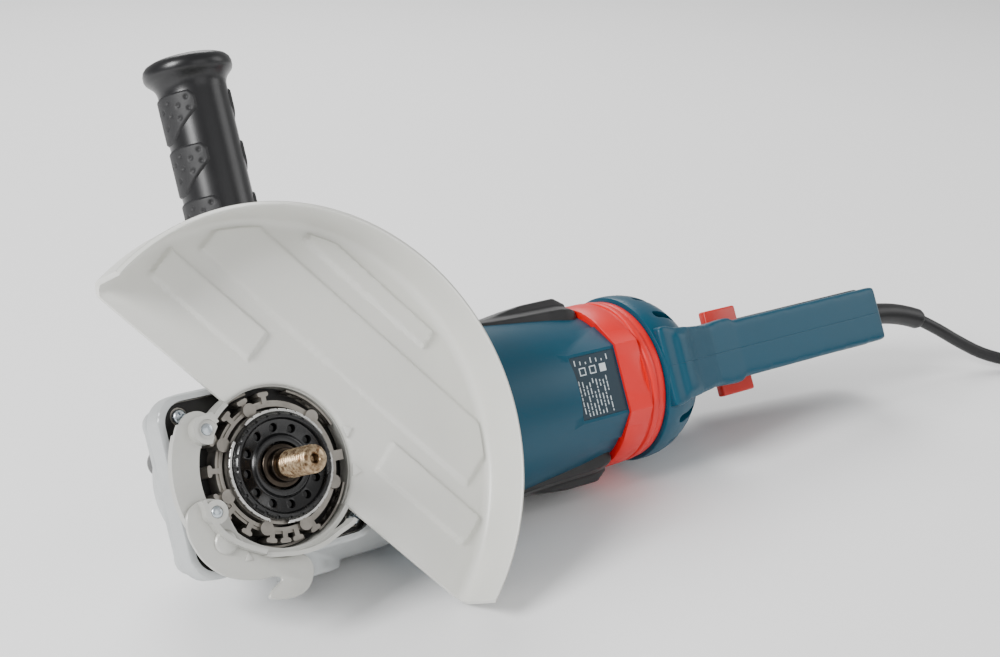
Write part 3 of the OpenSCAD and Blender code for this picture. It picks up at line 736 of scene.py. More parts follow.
def build_cord():
    """Mains cord as one curve, with the plug, its relief and the tie."""
    path = cord_path()
    bpy.ops.object.select_all(action="DESELECT")
    bpy.ops.curve.primitive_bezier_curve_add()
    cord = bpy.context.object
    cord.name = cord.data.name = "mains_cord"
    cord.data.splines.clear()
    spline = cord.data.splines.new("POLY")
    spline.points.add(len(path) - 1)
    for point, place in zip(spline.points, path):
        point.co = (*(LEVEL @ place), 1)
    cord.data.dimensions = "3D"
    cord.data.bevel_depth = sizes().cord_diameter / 2
    cord.data.bevel_resolution = 4
    cord.data.use_fill_caps = True
    cord.location = (0, 0, 0)
    cord.data.materials.append(finish("cord_rubber"))
    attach(cord, "root")
    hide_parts("cord", "cord_coil", "cord_tail")
    relief = build_relief()
    plug = build_plug()
    tie = build_tie()


def build_relief():
    """Moulded strain relief: a smooth sleeve that droops with the cord."""
    relief = turned("strain_relief_root", [(0, 470), (7.3, 470), (7.3, 486), (0, 486)], 32)
    move_by(relief, ON_MOTOR)
    move_by(relief, SLOPE)
    shifted(relief, 0, 0, ZERO.z / MM)
    bpy.ops.object.select_all(action="DESELECT")
    bpy.ops.mesh.primitive_circle_add(vertices=32, radius=6.6, fill_type="NGON", location=(0, 0, 0))
    bend = named("strain_relief")
    rings = 24
    line = [relief_line(RELIEF_TURN * i / rings) for i in range(rings + 1)]
    bpy.ops.object.mode_set(mode="EDIT")
    for _ in range(rings):
        bpy.ops.mesh.extrude_region_move(TRANSFORM_OT_translate={"value": (0, 0, 1)})
    bpy.ops.mesh.select_all(action="SELECT")
    bpy.ops.mesh.normals_make_consistent(inside=False)
    bpy.ops.object.mode_set(mode="OBJECT")
    for vertex in bend.data.vertices:
        i = round(vertex.co.z)
        ahead = (line[min(i + 1, rings)] - line[max(i - 1, 0)]).normalized()
        side = Vector((0, 1, 0)).cross(ahead).normalized()
        up = ahead.cross(side)
        size = (7.3 - 0.25 * ease(i, 0, rings) - 0.9 * (i == rings)) / 6.6
        vertex.co = line[i] + side * vertex.co.x * size + up * vertex.co.y * size
    pick(bend, relief)
    bpy.ops.object.join()
    return settle(bend, LEVEL, "root", "cord_rubber", ("cord_relief",), 50)


def build_plug():
    """Round moulded mains plug with a ribbed relief."""
    profile = [(0, 0), (16.6, 0), (17.8, 0.7), (18.3, 2), (18.3, 11), (17.8, 13), (15.6, 16), (13.8, 20),
               (13, 24)]
    for i in range(3):
        profile += [(12.9 - i, 25 + 3.4 * i), (12.2 - i, 25.8 + 3.4 * i), (12.2 - i, 27 + 3.4 * i),
                    (12.6 - i, 28 + 3.4 * i)]
    profile += [(10.4, 36), (0, 36)]
    body = turned("plug_moulding", profile, 48)
    move_by(body, ON_MOTOR)
    shifted(body, *PLUG_AT)
    settle(body, LEVEL, "root", "cord_rubber", ("plug_body",), 40)
    sleeve = [(0, 36.05)]
    for i in range(5):
        wide, narrow, foot = 6.3 - 0.2 * i, 5.5 - 0.15 * i, 36.05 + 4 * i
        sleeve += [(wide, foot), (wide, foot + 2.55), (narrow, foot + 2.85), (narrow, foot + 3.75)]
    relief = turned("plug_sleeve", sleeve + [(4.6, 56), (0, 56)], 32)
    move_by(relief, ON_MOTOR)
    shifted(relief, *PLUG_AT)
    settle(relief, LEVEL, "root", "cord_rubber", ("plug_relief",), 40)
    return [body, relief]


def build_tie():
    """Rubber strap round the coil."""
    thick = sizes().cord_diameter / MM
    half, high = COIL_COLUMNS * thick / 2, COIL_BASE + COIL_ROWS * thick
    near, far = COIL_RADIUS - half, COIL_RADIUS + half
    outer = block("coil_tie", (near - 1.6, -5, 0.1), (far + 1.6, 5, high + 0.9))
    bevel(outer, 1.5, 3)
    inner = block("hole", (near - 0.2, -6, COIL_BASE - 0.1), (far + 0.2, 6, high + 0.1))
    cut(outer, inner)
    spun(outer, -35)
    shifted(outer, *COIL_AT, 0)
    return settle(outer, LEVEL, "root", "tie_rubber", ("cord_tie",), 40)


# ---------------------------------------------------------------- gear head
# Modelled in (x, z, drop) round the spindle, or in tool millimetres
ROUND_SPINDLE = TOOL @ ON_SPINDLE
SIDE_AT = (30, -4)
EAR_AT = 35.4
SCREW_AT = (40, 35)
FLANGE_FACE = 45.8
CORNERS = [(sx, sz) for sx in (-1, 1) for sz in (-1, 1)]


def gearbox_outside():
    """Melted outside of the gearbox casing, with its flange rib, bosses and cooling ribs."""
    case = plate("gearbox_casing", round_rectangle(53, 46, 14), 34.5, 49.4)
    fuse(case, turned("barrel", [
        (0, 46), (45.5, 46), (45.5, 12), (43, 2), (34, -14), (28, -24), (22, -34), (17, -41), (12, -44),
        (0, -44)]))
    # rib round the flange, and corner bosses for its screws
    fuse(case, plate("rib", round_rectangle(50.5, 43.5, 12), 24, 30))
    for sx, sz in CORNERS:
        fuse(case, rod("boss", 16, 40, 8.5, (sx * 39, sz * 33.5)))
    move_by(case, ON_SPINDLE)
    rear = turned("rear", [(0, 0), (40, 0), (47, 14), (56, 36), (57, 44), (57, 77), (0, 77)])
    move_by(rear, ON_MOTOR)
    cut(rear, block("low", (-10, -70, -70), (90, -50, 70)), block("front", (-10, -70, -70), (51, -46, 70)),
        block("high", (-10, 53, -70), (90, 70, 70)))
    fuse(case, rear, rod("bosses", -60, 60, 17, SIDE_AT))
    # cooling ribs along the back of the head
    for z in (-24, -8, 8, 24):
        fuse(case, block("fin", (8, 30, z - 1.6), (66, 54.6, z + 1.6)))
    return cast(case, 1.25, 5)


def build_gear_case():
    """Die-cast gearbox casing: one melted outside, then the machined hollows."""
    case = gearbox_outside()
    cut(case,
        move_by(plate("pocket", round_rectangle(49.3, 42.3, 11), 43, 52), ON_SPINDLE),
        move_by(rod("sweep", 46.4, 52, 43.6, steps=96), ON_SPINDLE),
        move_by(rod("bore", 38, 48, 42.05, steps=96), ON_SPINDLE),
        move_by(rod("chamber", 6, 38.5, 43, steps=96), ON_SPINDLE),
        move_by(turned("dome", [
            (0, 7), (40, 7), (38, 0), (30, -13), (24, -23), (18, -32), (13, -37), (0, -37)]), ON_SPINDLE),
        move_by(rod("seat", -41, -36, 9), ON_SPINDLE),
        move_by(turned("pinion_room", [
            (0, 10), (16, 10), (16, 58), (20, 58.01), (20, 61), (49, 61.01), (49, 79), (0, 79)]), ON_MOTOR),
        rod("upper_hole", 42, 62, 6, SIDE_AT), rod("lower_hole", -62, -42, 6, SIDE_AT),
        rod("upper_mouth", 59.2, 62, 6.9, SIDE_AT), rod("lower_mouth", -62, -59.2, 6.9, SIDE_AT),
        move_by(rod("lock_stem", -50, 12, 3.3, (-16, 16)), ON_SPINDLE),
        move_by(rod("lock_head", -50, -28, 8.4, (-16, 16)), ON_SPINDLE))
    for sx, sz in CORNERS:
        cut(case, move_by(rod("screw", 36, 48, 2.05, (sx * SCREW_AT[0], sz * SCREW_AT[1]), 24), ON_SPINDLE))
    return settle(case, TOOL, "root", "cast_aluminium", ("gear_housing",), 38, look="casting_lacquer")


FINGERS = (88, 107, 125, 147, 171, 193, 207, 228, 250, 262, 273, 290)
FINGER_OUTLINE = [(31, -1.3), (34.9, -1.3), (35.5, -2.7), (36.6, -3), (37.4, -2.4), (37.5, 0), (37.4, 2.4),
                  (36.6, 3), (35.5, 2.7), (34.9, 1.3), (31, 1.3)]
RIM_BOSSES = (40, 106, 148, 195, 243, 283, 333)


def collar_ring():
    """The collar's toothed ring with its bosses, slotted outer walls and tongue."""
    ring = rod("ring", 44, 56, 33, steps=96)
    cut(ring, rod("gap", 43, 60, 29.8, steps=96))
    crest = rod("crest", 55, 57, 31.6, steps=96)
    cut(crest, rod("gap", 54, 60, 29.8, steps=96))
    fuse(ring, crest)
    for angle in FINGERS:
        finger = plate("finger", FINGER_OUTLINE, 45, 57)
        fuse(ring, spun(finger, angle))
    for angle in RIM_BOSSES:
        turn = math.radians(angle)
        fuse(ring, rod("boss", 45, 58.8, 3.5, (31.2 * math.cos(turn), 31.2 * math.sin(turn)), 32))
    # low outer wall with its two slotted channels
    for start, end in ((21, 66), (-66, -24), (96, 142), (160, 216), (236, 284)):
        fuse(ring, plate("wall", strip(38.3, 39.4, start, end, 3), 45, 54 if end < 80 else 49))
        for angle in range(start + 5, end - 3, 8):
            if end < 80:
                notch = block("notch", (37, -1.6, 47.6), (41, 1.6, 52.2))
                cut(ring, spun(notch, angle))
    tongue = block("tongue", (33, -2.6, 45), (38.5, 2.6, 54.5))
    fuse(ring, spun(tongue, -3))
    return ring


def build_collar():
    """Die-cast bearing flange with the toothed collar that the guard locks on."""
    base = plate("guard_collar", round_rectangle(49, 42, 10.7), 43.02, FLANGE_FACE)
    fuse(base, rod("pilot", 40, FLANGE_FACE, 41.9, steps=96), rod("hub", 33, 58.6, 28.4, steps=96),
         collar_ring())
    cut(base, rod("seat", 32, 47, 23.55, steps=96), rod("cover_seat", 49, 61, 26.7, steps=96),
        rod("hole", 46, 50, 14))
    for sx, sz in CORNERS:
        cut(base, rod("screw", 42, 47, 2.05, (sx * SCREW_AT[0], sz * SCREW_AT[1]), 24))
    bevel(base, 0.3, 2, 40)
    return settle(base, ROUND_SPINDLE, "root", "cast_aluminium", ("bearing_flange",), 35)


def build_collar_floor():
    """Near-black floor of the collar's groove, greasy and dusty, with the groove's shade painted on: thin
    discs that lie in the recess.
    """
    floor = plate("collar_groove_dirt_and_shade", round_rectangle(48.7, 41.7, 10.4), 45.81, 46.3)
    cut(floor, rod("ring", 45, 47, 29, steps=96))
    for sx, sz in CORNERS:
        cut(floor, rod("screw", 45, 48, 4.6, (sx * SCREW_AT[0], sz * SCREW_AT[1]), 32))
    # near-black discs: painted shade of the groove together with its greasy dirt
    return settle(floor, ROUND_SPINDLE, "root", "cast_aluminium", (), 35, look="grease_and_shade")


def build_bearing_cover():
    """Black cover of the bearing, with a ring of pockets."""
    cover = turned("bearing_cover_moulding", [
        (12, 50), (26.5, 50), (26.5, 62.8), (26.1, 64.2), (25.2, 65), (24, 65), (23.3, 64.4), (22.8, 62.8),
        (22, 62.2), (16.2, 61.1), (15.4, 61.6), (14.8, 62.8), (14, 63), (12, 63), (12, 50)])
    for i in range(12):
        turn = math.radians(30 * i)
        cut(cover, rod("pocket", 57.5, 66, 2.2, (19.2 * math.cos(turn), 19.2 * math.sin(turn)), 24))
    for i in range(24):
        cut(cover, spun(block("notch", (24.9, -0.7, 63.4), (27.5, 0.7, 67)), 15 * i + 7.5))
    bevel(cover, 0.2, 2, 45)
    return settle(cover, ROUND_SPINDLE, "root", "black_plastic", ("bearing_cover",), 35)


def build_retaining_ring():
    """Bright steel ring between the cover and the collar, cut in three."""
    ring = rod("retaining_strip", 60.2, 62, 28.3, steps=120)
    cut(ring, rod("inside", 59, 63, 26.8, steps=120))
    for angle in (12, 132, 252):
        cut(ring, spun(block("gap", (20, -5, 58), (32, 5, 64)), angle))
    for i in range(36):
        cut(ring, spun(block("notch", (27.9, -0.5, 59), (29, 0.5, 64)), 10 * i))
    bevel(ring, 0.15, 1, 45)
    return settle(ring, ROUND_SPINDLE, "root", "light_ring", ("retaining_ring",), 35)


def pan_screw(name, head, high, shank, long):
    """Pan-head screw with a cross recess, its seat at zero and its head upwards."""
    screw = turned(name, [
        (0, -long), (shank, -long), (shank, 0), (head, 0.01), (head, high * 0.35), (head * 0.94, high * 0.62),
        (head * 0.78, high * 0.85), (head * 0.5, high * 0.97), (0, high)], 40)
    for angle in (20, 110):
        wing = block("recess", (-head * 0.58, -head * 0.11, high * 0.35),
                     (head * 0.58, head * 0.11, high + 1))
        cut(screw, spun(wing, angle))
    return bevel(screw, 0.12, 1, 50)


def build_flange_screws():
    """Four corner screws of the bearing flange."""
    places = [Matrix.Translation((sx * SCREW_AT[0], sz * SCREW_AT[1], FLANGE_FACE)) for sx, sz in CORNERS]
    screws = repeated("corner_screws", pan_screw("corner_screw", 3.7, 3, 2, 9), places)
    return settle(screws, ROUND_SPINDLE, "root", "zinc_steel", ("flange_screws",), 40)


def build_spindle():
    """Spindle: a dark oiled shaft with wrench flats, and its worn tip with a real helical thread."""
    pitch = sizes().thread_pitch / MM
    tip, start, step = 96.4, 68.0, 0.25
    shaft = turned("spindle_shaft", [
        (0, -38), (4.6, -38), (5, -37.5), (5, -28), (8, -26), (8, 8), (10, 8.01), (10, 49), (11, 49.01),
        (11, 62.4), (10.4, 63), (8.5, 63.01), (8.5, 67.6), (8.1, start), (0, start)], 80)
    for side in (-1, 1):
        cut(shaft, block("flat", (-14, 10.9 * side - 2, 52), (14, 10.9 * side + 2, 62)))
    settle(shaft, ROUND_SPINDLE, "spindle", "spindle_steel", ("spindle",), 45, look="gear_steel")
    core, crest = 6.05, 0.92
    profile = [(0, start - 0.5), (core, start - 0.5)]
    profile += [(core, start + step * i) for i in range(1, round((tip - 0.9 - start) / step))]
    profile += [(5.9, tip - 0.8), (5.2, tip), (2.7, tip), (2.2, tip - 0.6), (2, tip - 5), (0, tip - 6)]
    thread = turned("spindle_thread", profile, 80)
    for vertex in thread.data.vertices:
        x, y, drop = vertex.co
        radius = math.hypot(x, y)
        if start + 0.1 < drop < tip - 0.5 and radius > 5:
            saw = ((drop - start) / pitch - math.atan2(y, x) / math.tau) % 1
            height = min(1, max(0, 1.45 - 3.0 * abs(saw - 0.5)))
            fade = ease(drop, start + 1, start + 3.4) * (1 - ease(drop, tip - 1.6, tip - 0.5))
            grown = (core + crest * height * fade) / radius
            vertex.co.x, vertex.co.y = x * grown, y * grown
    return settle(thread, ROUND_SPINDLE, "spindle", "spindle_steel", (), 45)


def build_lock_button():
    """Button of the spindle lock with a ringed top."""
    button = turned("spindle_lock_cap", [
        (0, -44), (5.4, -44), (5.8, -43.4), (6.4, -43.4), (7.2, -43.8), (7.8, -43.2), (8, -42.4), (8, -34),
        (3, -33.99), (3, 7), (0, 7)], 48)
    return settle(shifted(button, -16, 16, 0), ROUND_SPINDLE, "spindle_lock", "black_plastic",
                  ("spindle_lock_button",), 40)


# ---------------------------------------------------------------- guard
STRAP_UP = (-36.5, 25.5)
STRAP_LOW = (-42.5, -13.5)
RIVET_AT = (-39.5, -28.5)
GUARD_SHEET = 2.5
# From the spindle to the guard's straight edge
GUARD_EDGE = 7.5


def between(value, low, high, soft=0.7):
    """1 inside a band and 0 outside, with soft edges."""
    return ease(value, low - soft, low + soft) * (1 - ease(value, high - soft, high + soft))


def rib_lift(x, z):
    """Height of the guard's pressed bands at a place, from 0 to 1."""
    clock = sizes().guard_clock
    s = x * math.cos(clock) + z * math.sin(clock)
    t = z * math.cos(clock) - x * math.sin(clock)
    radius = math.hypot(x, z)
    band = between(s, 32, 50) * between(abs(t), 44, 108)
    panel = between(s, 59, 91) * between(t, -92, 96) * ease(radius, 49, 52)
    outer = between(s, 102, 113) * between(t, -30, 56)
    return max(band, 0.8 * panel, outer)


def guard_section():
    """Inner surface of the guard as (radius, drop): neck, flat, bend and the rim's flared edge."""
    drop, deep = sizes().guard_drop / MM, sizes().rim_depth / MM
    inside, bend = sizes().guard_radius / MM - GUARD_SHEET, 5
    section = [(40.75, drop - 2.2), (40.9, drop - 1), (41.6, drop - 0.25), (42.8, drop)]
    steps = round((inside - bend - 43) / 1.3)
    section += [(43 + (inside - bend - 43) * i / steps, drop) for i in range(1, steps + 1)]
    for x, y in arc(bend, -90, 0, 15)[1:]:
        section.append((inside - bend + x, drop + bend + y))
    section += [(inside, drop + 12 + i * 4.4) for i in range(3)]
    edge = drop + deep
    return section + [(inside, edge - 1.4), (inside + 0.2, edge - 0.6), (inside + 0.7, edge - 0.1)]


def build_guard():
    """Sheet guard: its section turned about the spindle, cut straight, pressed and given its thickness."""
    radius, drop = sizes().guard_radius / MM, sizes().guard_drop / MM
    section = guard_section()
    bpy.ops.object.select_all(action="DESELECT")
    bpy.ops.mesh.primitive_circle_add(vertices=480, radius=section[0][0], location=(0, 0, section[0][1]))
    guard = named("guard_sheet")
    bpy.ops.object.mode_set(mode="EDIT")
    bpy.ops.mesh.select_all(action="SELECT")
    for (r0, h0), (r1, h1) in zip(section, section[1:]):
        bpy.ops.mesh.extrude_region_move(TRANSFORM_OT_translate={"value": (0, 0, h1 - h0)})
        bpy.ops.transform.resize(value=(r1 / r0, r1 / r0, 1), center_override=(0, 0, h1))
    clock = sizes().guard_clock
    middle = Vector((math.cos(clock), math.sin(clock), 0))
    along = Vector((-math.sin(clock), math.cos(clock), 0))
    bpy.ops.mesh.select_all(action="SELECT")
    bpy.ops.mesh.bisect(plane_co=middle * GUARD_EDGE, plane_no=middle, clear_inner=True)
    # the far end of the straight edge is trimmed at a slant
    bpy.ops.mesh.select_all(action="SELECT")
    corner = middle * GUARD_EDGE + along * (radius - 7)
    bpy.ops.mesh.bisect(plane_co=corner, plane_no=(middle * 0.8 - along * 0.6).normalized(), clear_inner=True)
    bpy.ops.object.mode_set(mode="OBJECT")
    rise = sizes().rib_height / MM
    for vertex in guard.data.vertices:
        if abs(vertex.co.z - drop) < 0.05:
            vertex.co.z += rise * rib_lift(vertex.co.x, vertex.co.y)
    face_along_spindle(guard, middle * 100)
    solid = guard.modifiers.new("Sheet", "SOLIDIFY")
    solid.thickness = GUARD_SHEET
    solid.offset = -1
    solid.use_even_offset = True
    pick(guard)
    bpy.ops.object.modifier_apply(modifier=solid.name)
    bevel(guard, 0.55, 3, 50)
    return settle(guard, ROUND_SPINDLE, "guard", "guard_paint", ("guard_shell",), 40)


def face_along_spindle(sheet, place):
    """Turns a sheet's faces so that the one nearest a place looks down the spindle."""
    nearest = min(sheet.data.polygons, key=lambda face: (face.center - place).length)
    if nearest.normal.z < 0:
        pick(sheet)
        bpy.ops.object.mode_set(mode="EDIT")
        bpy.ops.mesh.select_all(action="SELECT")
        bpy.ops.mesh.flip_normals()
        bpy.ops.object.mode_set(mode="OBJECT")


def build_guard_keys():
    """Two small coding keys that stand in from the guard's neck."""
    pads = []
    for angle, hand in ((12, 1), (-15, -1)):
        corners = [(40.9, -3.2 * hand), (46.2, 0.6 * hand), (40.9, 3.6 * hand)][::hand]
        pad = plate("guard_key", corners, 57.6, 59.2)
        bevel(pad, 0.5, 2)
        pads.append(spun(pad, angle))
    return settle(join("guard_keys", *pads), ROUND_SPINDLE, "guard", "guard_paint", (), 40)


def strap_run(line, half):
    """Outline of a strap of some half thickness along a line of (radius, angle)."""
    outline = [((r + half) * math.cos(a), (r + half) * math.sin(a)) for r, a in line]
    return outline + [((r - half) * math.cos(a), (r - half) * math.sin(a)) for r, a in reversed(line)]


def build_clamp_band():
    """Band of the guard's neck with the rolled eye of its strap."""
    band = plate("neck_band", strip(40, 42.4, -159, 149, 3), 47.2, 55.5)
    fuse(band, plate("front", strip(40, 42.4, -150, -41, 3), 47.2, 60),
         plate("upper", strip(40, 42.4, 119.5, 146, 3), 47.2, 60))
    eye = rod("eye", 50, 66, 5.8, STRAP_UP)
    # the strap runs from its eye to the neck
    line = [(44.6 - 1.5 * ease(i, 0, 4) + 2.6 * ease(i, 13, 17), math.radians(-119 + 70 * i / 17))
            for i in range(18)]
    fuse(band, plate("run", strap_run(line, 1.1), 59.4, 67.6))
    loop = [(STRAP_UP[0] + 7.2 * x / 7, STRAP_UP[1] + 7.2 * y / 7) for x, y in arc(7, 20, 300, 14)]
    loop += [(STRAP_UP[0] + x, STRAP_UP[1] + y) for x, y in arc(5, 300, 20, 14)]
    fuse(band, plate("loop", loop, 60, 67))
    tab = plate("tab", [
        (-37, 31.3), (-31.4, 27.6), (-30, 29), (-27.4, 31.5), (-29.5, 33.6), (-34, 33)], 56, 60)
    fuse(band, eye, tab)
    cut(band, rod("pin", 46, 67, 3.02, STRAP_UP), rod("bore", 46, 67, 40, steps=120))
    bevel(band, 0.35, 2, 40)
    return settle(band, ROUND_SPINDLE, "guard", "guard_paint", ("clamp_band",), 38, look="clamp")


def build_clamp_link():
    """Crescent plate that ties the two pins."""
    link = plate("clamp_crescent", strip(43, 57, 147, 215, 3), 57.6, 60.2)
    fuse(link, rod("upper", 57.6, 60.2, 9, (STRAP_UP[0] - 2, STRAP_UP[1] + 1)),
         rod("lower", 57.6, 60.2, 8, (RIVET_AT[0] - 2, RIVET_AT[1] + 1)))
    # turned edge along its outside
    fuse(link, plate("edge", strip(55.2, 57, 152, 212, 3), 55.4, 60.2))
    cut(link, rod("bore", 55, 61, 42.6, steps=96), rod("eye", 55, 61, 5.85, STRAP_UP),
        rod("rivet", 55, 61, 2.55, RIVET_AT))
    bevel(link, 0.5, 2, 40)
    return settle(link, ROUND_SPINDLE, "guard", "guard_paint", ("clamp_link",), 38, look="clamp")


def build_link_pin():
    """Upper pin with a riveted end."""
    pin = turned("strap_pin", [
        (0, 48.4), (2.6, 48.4), (3, 48.8), (3, 66), (2.7, 66.7), (1.6, 67.1), (0, 67.2)], 40)
    return settle(shifted(pin, *STRAP_UP, 0), ROUND_SPINDLE, "guard", "zinc_steel", ("link_pin",), 40)


def build_lever_rivet():
    """Painted rivet the lever turns on."""
    rivet = turned("lever_pivot", [
        (0, 57.8), (2.5, 57.8), (2.5, 63.8), (5.8, 63.81), (6, 64.4), (5.6, 65.2), (4.4, 65.8), (0, 66)], 48)
    return settle(shifted(rivet, *RIVET_AT, 0), ROUND_SPINDLE, "guard", "guard_paint", ("lever_rivet",), 40,
                  look="clamp")


def build_lever():
    """Quick clamp lever: a stamped plate with a curved outline, rounded edges and a small arrow."""
    outline = [(-50, -7.5), (-55.5, -12), (-56.6, -22), (-53, -33), (-46.5, -41.5), (-38, -47), (-27, -50.2),
               (-17.5, -51), (-15, -53.4), (-20.5, -56.4), (-23.5, -60), (-17, -62.6), (-7.5, -63), (-1, -60),
               (3, -53), (1.8, -46.6), (-3, -43.6), (-12, -42.8), (-22, -38.8), (-29, -32), (-33, -22),
               (-36.5, -10), (-43, -6.5)]
    lever = plate("clamp_lever_plate", curved(outline, 5)[::-1], 60.8, 63.4)
    bevel(lever, 0.8, 3, 50)
    arrow = plate("arrow", [(-27.2, -40.6), (-31.8, -39.8), (-29.2, -35.6)], 63, 63.9)
    bevel(arrow, 0.25, 2, 40)
    fuse(lever, arrow)
    cut(lever, rod("rivet", 60, 64, 2.56, RIVET_AT), rod("pin", 60, 64, 3.05, STRAP_LOW))
    return settle(lever, ROUND_SPINDLE, "clamp_lever", "guard_paint", ("clamp_lever",), 38, look="clamp")


def build_strap_hook():
    """Rolled end of the strap with the tongue that runs under the collar."""
    hook = rod("strap_hook_eye", 63.6, 69, 5.8, STRAP_LOW)
    band = plate("band", strip(47.0, 49.4, 188, 204, 2), 63.6, 69)
    line = [(48.2 - 4.2 * ease(i, 2, 16), math.radians(200 + 40 * i / 16)) for i in range(17)]
    fuse(hook, band, plate("run", strap_run(line, 1.2), 63.6, 69))
    cut(hook, rod("pin", 63, 70, 3.02, STRAP_LOW))
    bevel(hook, 0.35, 2, 40)
    return settle(hook, ROUND_SPINDLE, "clamp_lever", "guard_paint", ("strap_hook",), 38, look="clamp")


def build_hook_pin():
    """Lower pin with a riveted end."""
    pin = turned("hook_rivet", [(0, 60.9), (3, 60.9), (3, 68.8), (2.6, 69.4), (1.6, 69.8), (0, 69.9)], 40)
    return settle(shifted(pin, *STRAP_LOW, 0), ROUND_SPINDLE, "clamp_lever", "zinc_steel", ("hook_pin",), 40)


# ---------------------------------------------------------------- motor
# Outside of the casing along its tapered half, as (radius, place on the motor axis)
CASING_TAPER = [(52.5, 140), (51.6, 160), (50.6, 176), (49.3, 192), (47.7, 208), (46.1, 222), (45, 232.5)]
# Stands an outline upright across the motor axis
ACROSS_MOTOR = Matrix(((0, 0, 1, 0), (1, 0, 0, 0), (0, 1, 0, 0), (0, 0, 0, 1)))


def label_facet(name, start, end, deep):
    """Flat facet under the label: its sides run out on the round casing and its front slopes down."""
    facet = plate(name, [(-deep, 20), (-deep, -20), (-33, -33), (-20, -33), (-20, 33), (-33, 33)], start, end)
    move_by(facet, ACROSS_MOTOR)
    slope = plate("slope", [
        (start - 1, -40), (start + 20, -deep), (end + 1, -deep), (end + 1, 0), (start - 1, 0)], -50, 50)
    return common(facet, slope)


def build_motor_casing():
    """Moulded nylon motor casing with screw ears, air inlets and the flat of the label."""
    casing = turned("motor_casing", [
        (0, 77), (53.2, 77), (54, 77.8), (54, 82), (53.6, 84), (53.5, 100), (53.1, 120), *CASING_TAPER,
        (43, 232.51), (43, 262.5), (0, 262.5)], 144)
    move_by(casing, ON_MOTOR)
    cut(casing, block("level", (200, -60, -20), (232.4, -46, 20)))
    fuse(casing, label_facet("flat", 178, 232.5, 46))
    for sy, sz in CORNERS:
        ear = turned("ear", [(0, 77), (6.5, 77), (6.5, 94.6), (5.9, 95.7), (4.8, 96), (0, 96)], 40)
        move_by(ear, ON_MOTOR)
        fuse(casing, shifted(ear, 0, sy * EAR_AT, sz * EAR_AT))
    hollow = move_by(turned("hollow", [
        (0, 76), (50.5, 76), (47.5, 178), (41.5, 226), (13.05, 226.01), (13.05, 240), (40, 240.01), (40, 264),
        (0, 264)], 96), ON_MOTOR)
    cut(casing, hollow, block("label_seat", (199, -49, -18.2), (232, -45.6, 18.2)))
    for sy, sz in CORNERS:
        place = Matrix.Translation((0, sy * EAR_AT, sz * EAR_AT))
        hole = turned("hole", [(0, 76), (2.55, 76), (2.55, 96), (4.8, 96.01), (4.8, 100.5), (0, 100.5)], 32)
        cut(casing, move_by(move_by(hole, ON_MOTOR), place))
    for i in range(6):
        for sz in (-1, 1):
            inlet = plate("inlet", shift(round_rectangle(1.5, 8, 1.4, 30), 185.5 + i * 7, sz * 12), -56, -34)
            cut(casing, move_by(inlet, ON_SPINDLE))
    bevel(casing, 0.35, 2, 45)
    return settle(casing, TOOL, "root", "blue_nylon", ("motor_housing",), 32)


def build_label():
    """Blank rating plate: dark film with plain white rules and boxes in place of its print."""
    film = block("rating_film", (199.2, -46, -18), (231.5, -45.6, 18))
    bevel(film, 0.12, 1)
    settle(film, TOOL, "root", "label_film", ("label_plate",), 30)
    marks = []
    for i in range(9):
        x, z = 201.4 + i * 2.5, -16.6
        for k in range(7):
            long = 1.2 + (i * 5 + k * 3) % 4 * 0.75
            if (i + 2 * k) % 7 and z + long < 4.5:
                marks.append(block("rule", (x, -46.03, z), (x + 0.62, -45.98, z + long)))
            z += long + 0.7
    for i in range(3):
        x = 204 + i * 7.4
        box = block("box", (x, -46.03, 6.8), (x + 4.6, -45.98, 11.4))
        if i < 2:
            cut(box, block("inside", (x + 0.6, -47, 7.4), (x + 4, -45, 10.8)))
        marks.append(box)
    for i in range(7):
        x = 201.6 + i * 3.9
        marks.append(block("rule", (x, -46.03, 13), (x + 0.7, -45.98, 16.2 - i % 3)))
    return settle(join("rating_rules", *marks), TOOL, "root", "label_film", (), 30, look="ink")


def build_bumpers():
    """Two rubber pads on the sides of the motor casing, each with a raised end block."""
    pad = move_by(turned("pad", [
        (44, 150), (51.8, 150), (52.6, 153), (52.8, 165), (52.4, 190), (52, 222), (51.2, 228), (49, 232.2),
        (44, 232.2), (44, 150)], 144), ON_MOTOR)
    outline = [(149, -9), (158, -15.5), (176, -19.5), (212, -20.5), (233, -18.5),
               (233, 18.5), (212, 20.5), (176, 19.5), (158, 15.5), (149, 9)]
    common(pad, plate("outline", curved(outline, 4), 0, 70))
    hump = plate("hump", [
        (172, 40), (172, 51.2), (184, 53.4), (200, 55.4), (224, 55.6), (231.6, 50.6),
        (231.6, 40)], -12.5, 12.5)
    fuse(pad, move_by(hump, ON_SPINDLE))
    cast(pad, 0.9, 6)
    hollow = turned("hollow", [(0, 140), *CASING_TAPER, (45, 240), (0, 240)], 144)
    cut(pad, move_by(hollow, ON_MOTOR))
    other = spun(copied(pad), 180, "X")
    for side, hand in ((pad, "left"), (other, "right")):
        side.name = side.data.name = f"side_bumper_{hand}"
        settle(side, TOOL, "root", "black_rubber", (f"bumper_{hand}",), 38)


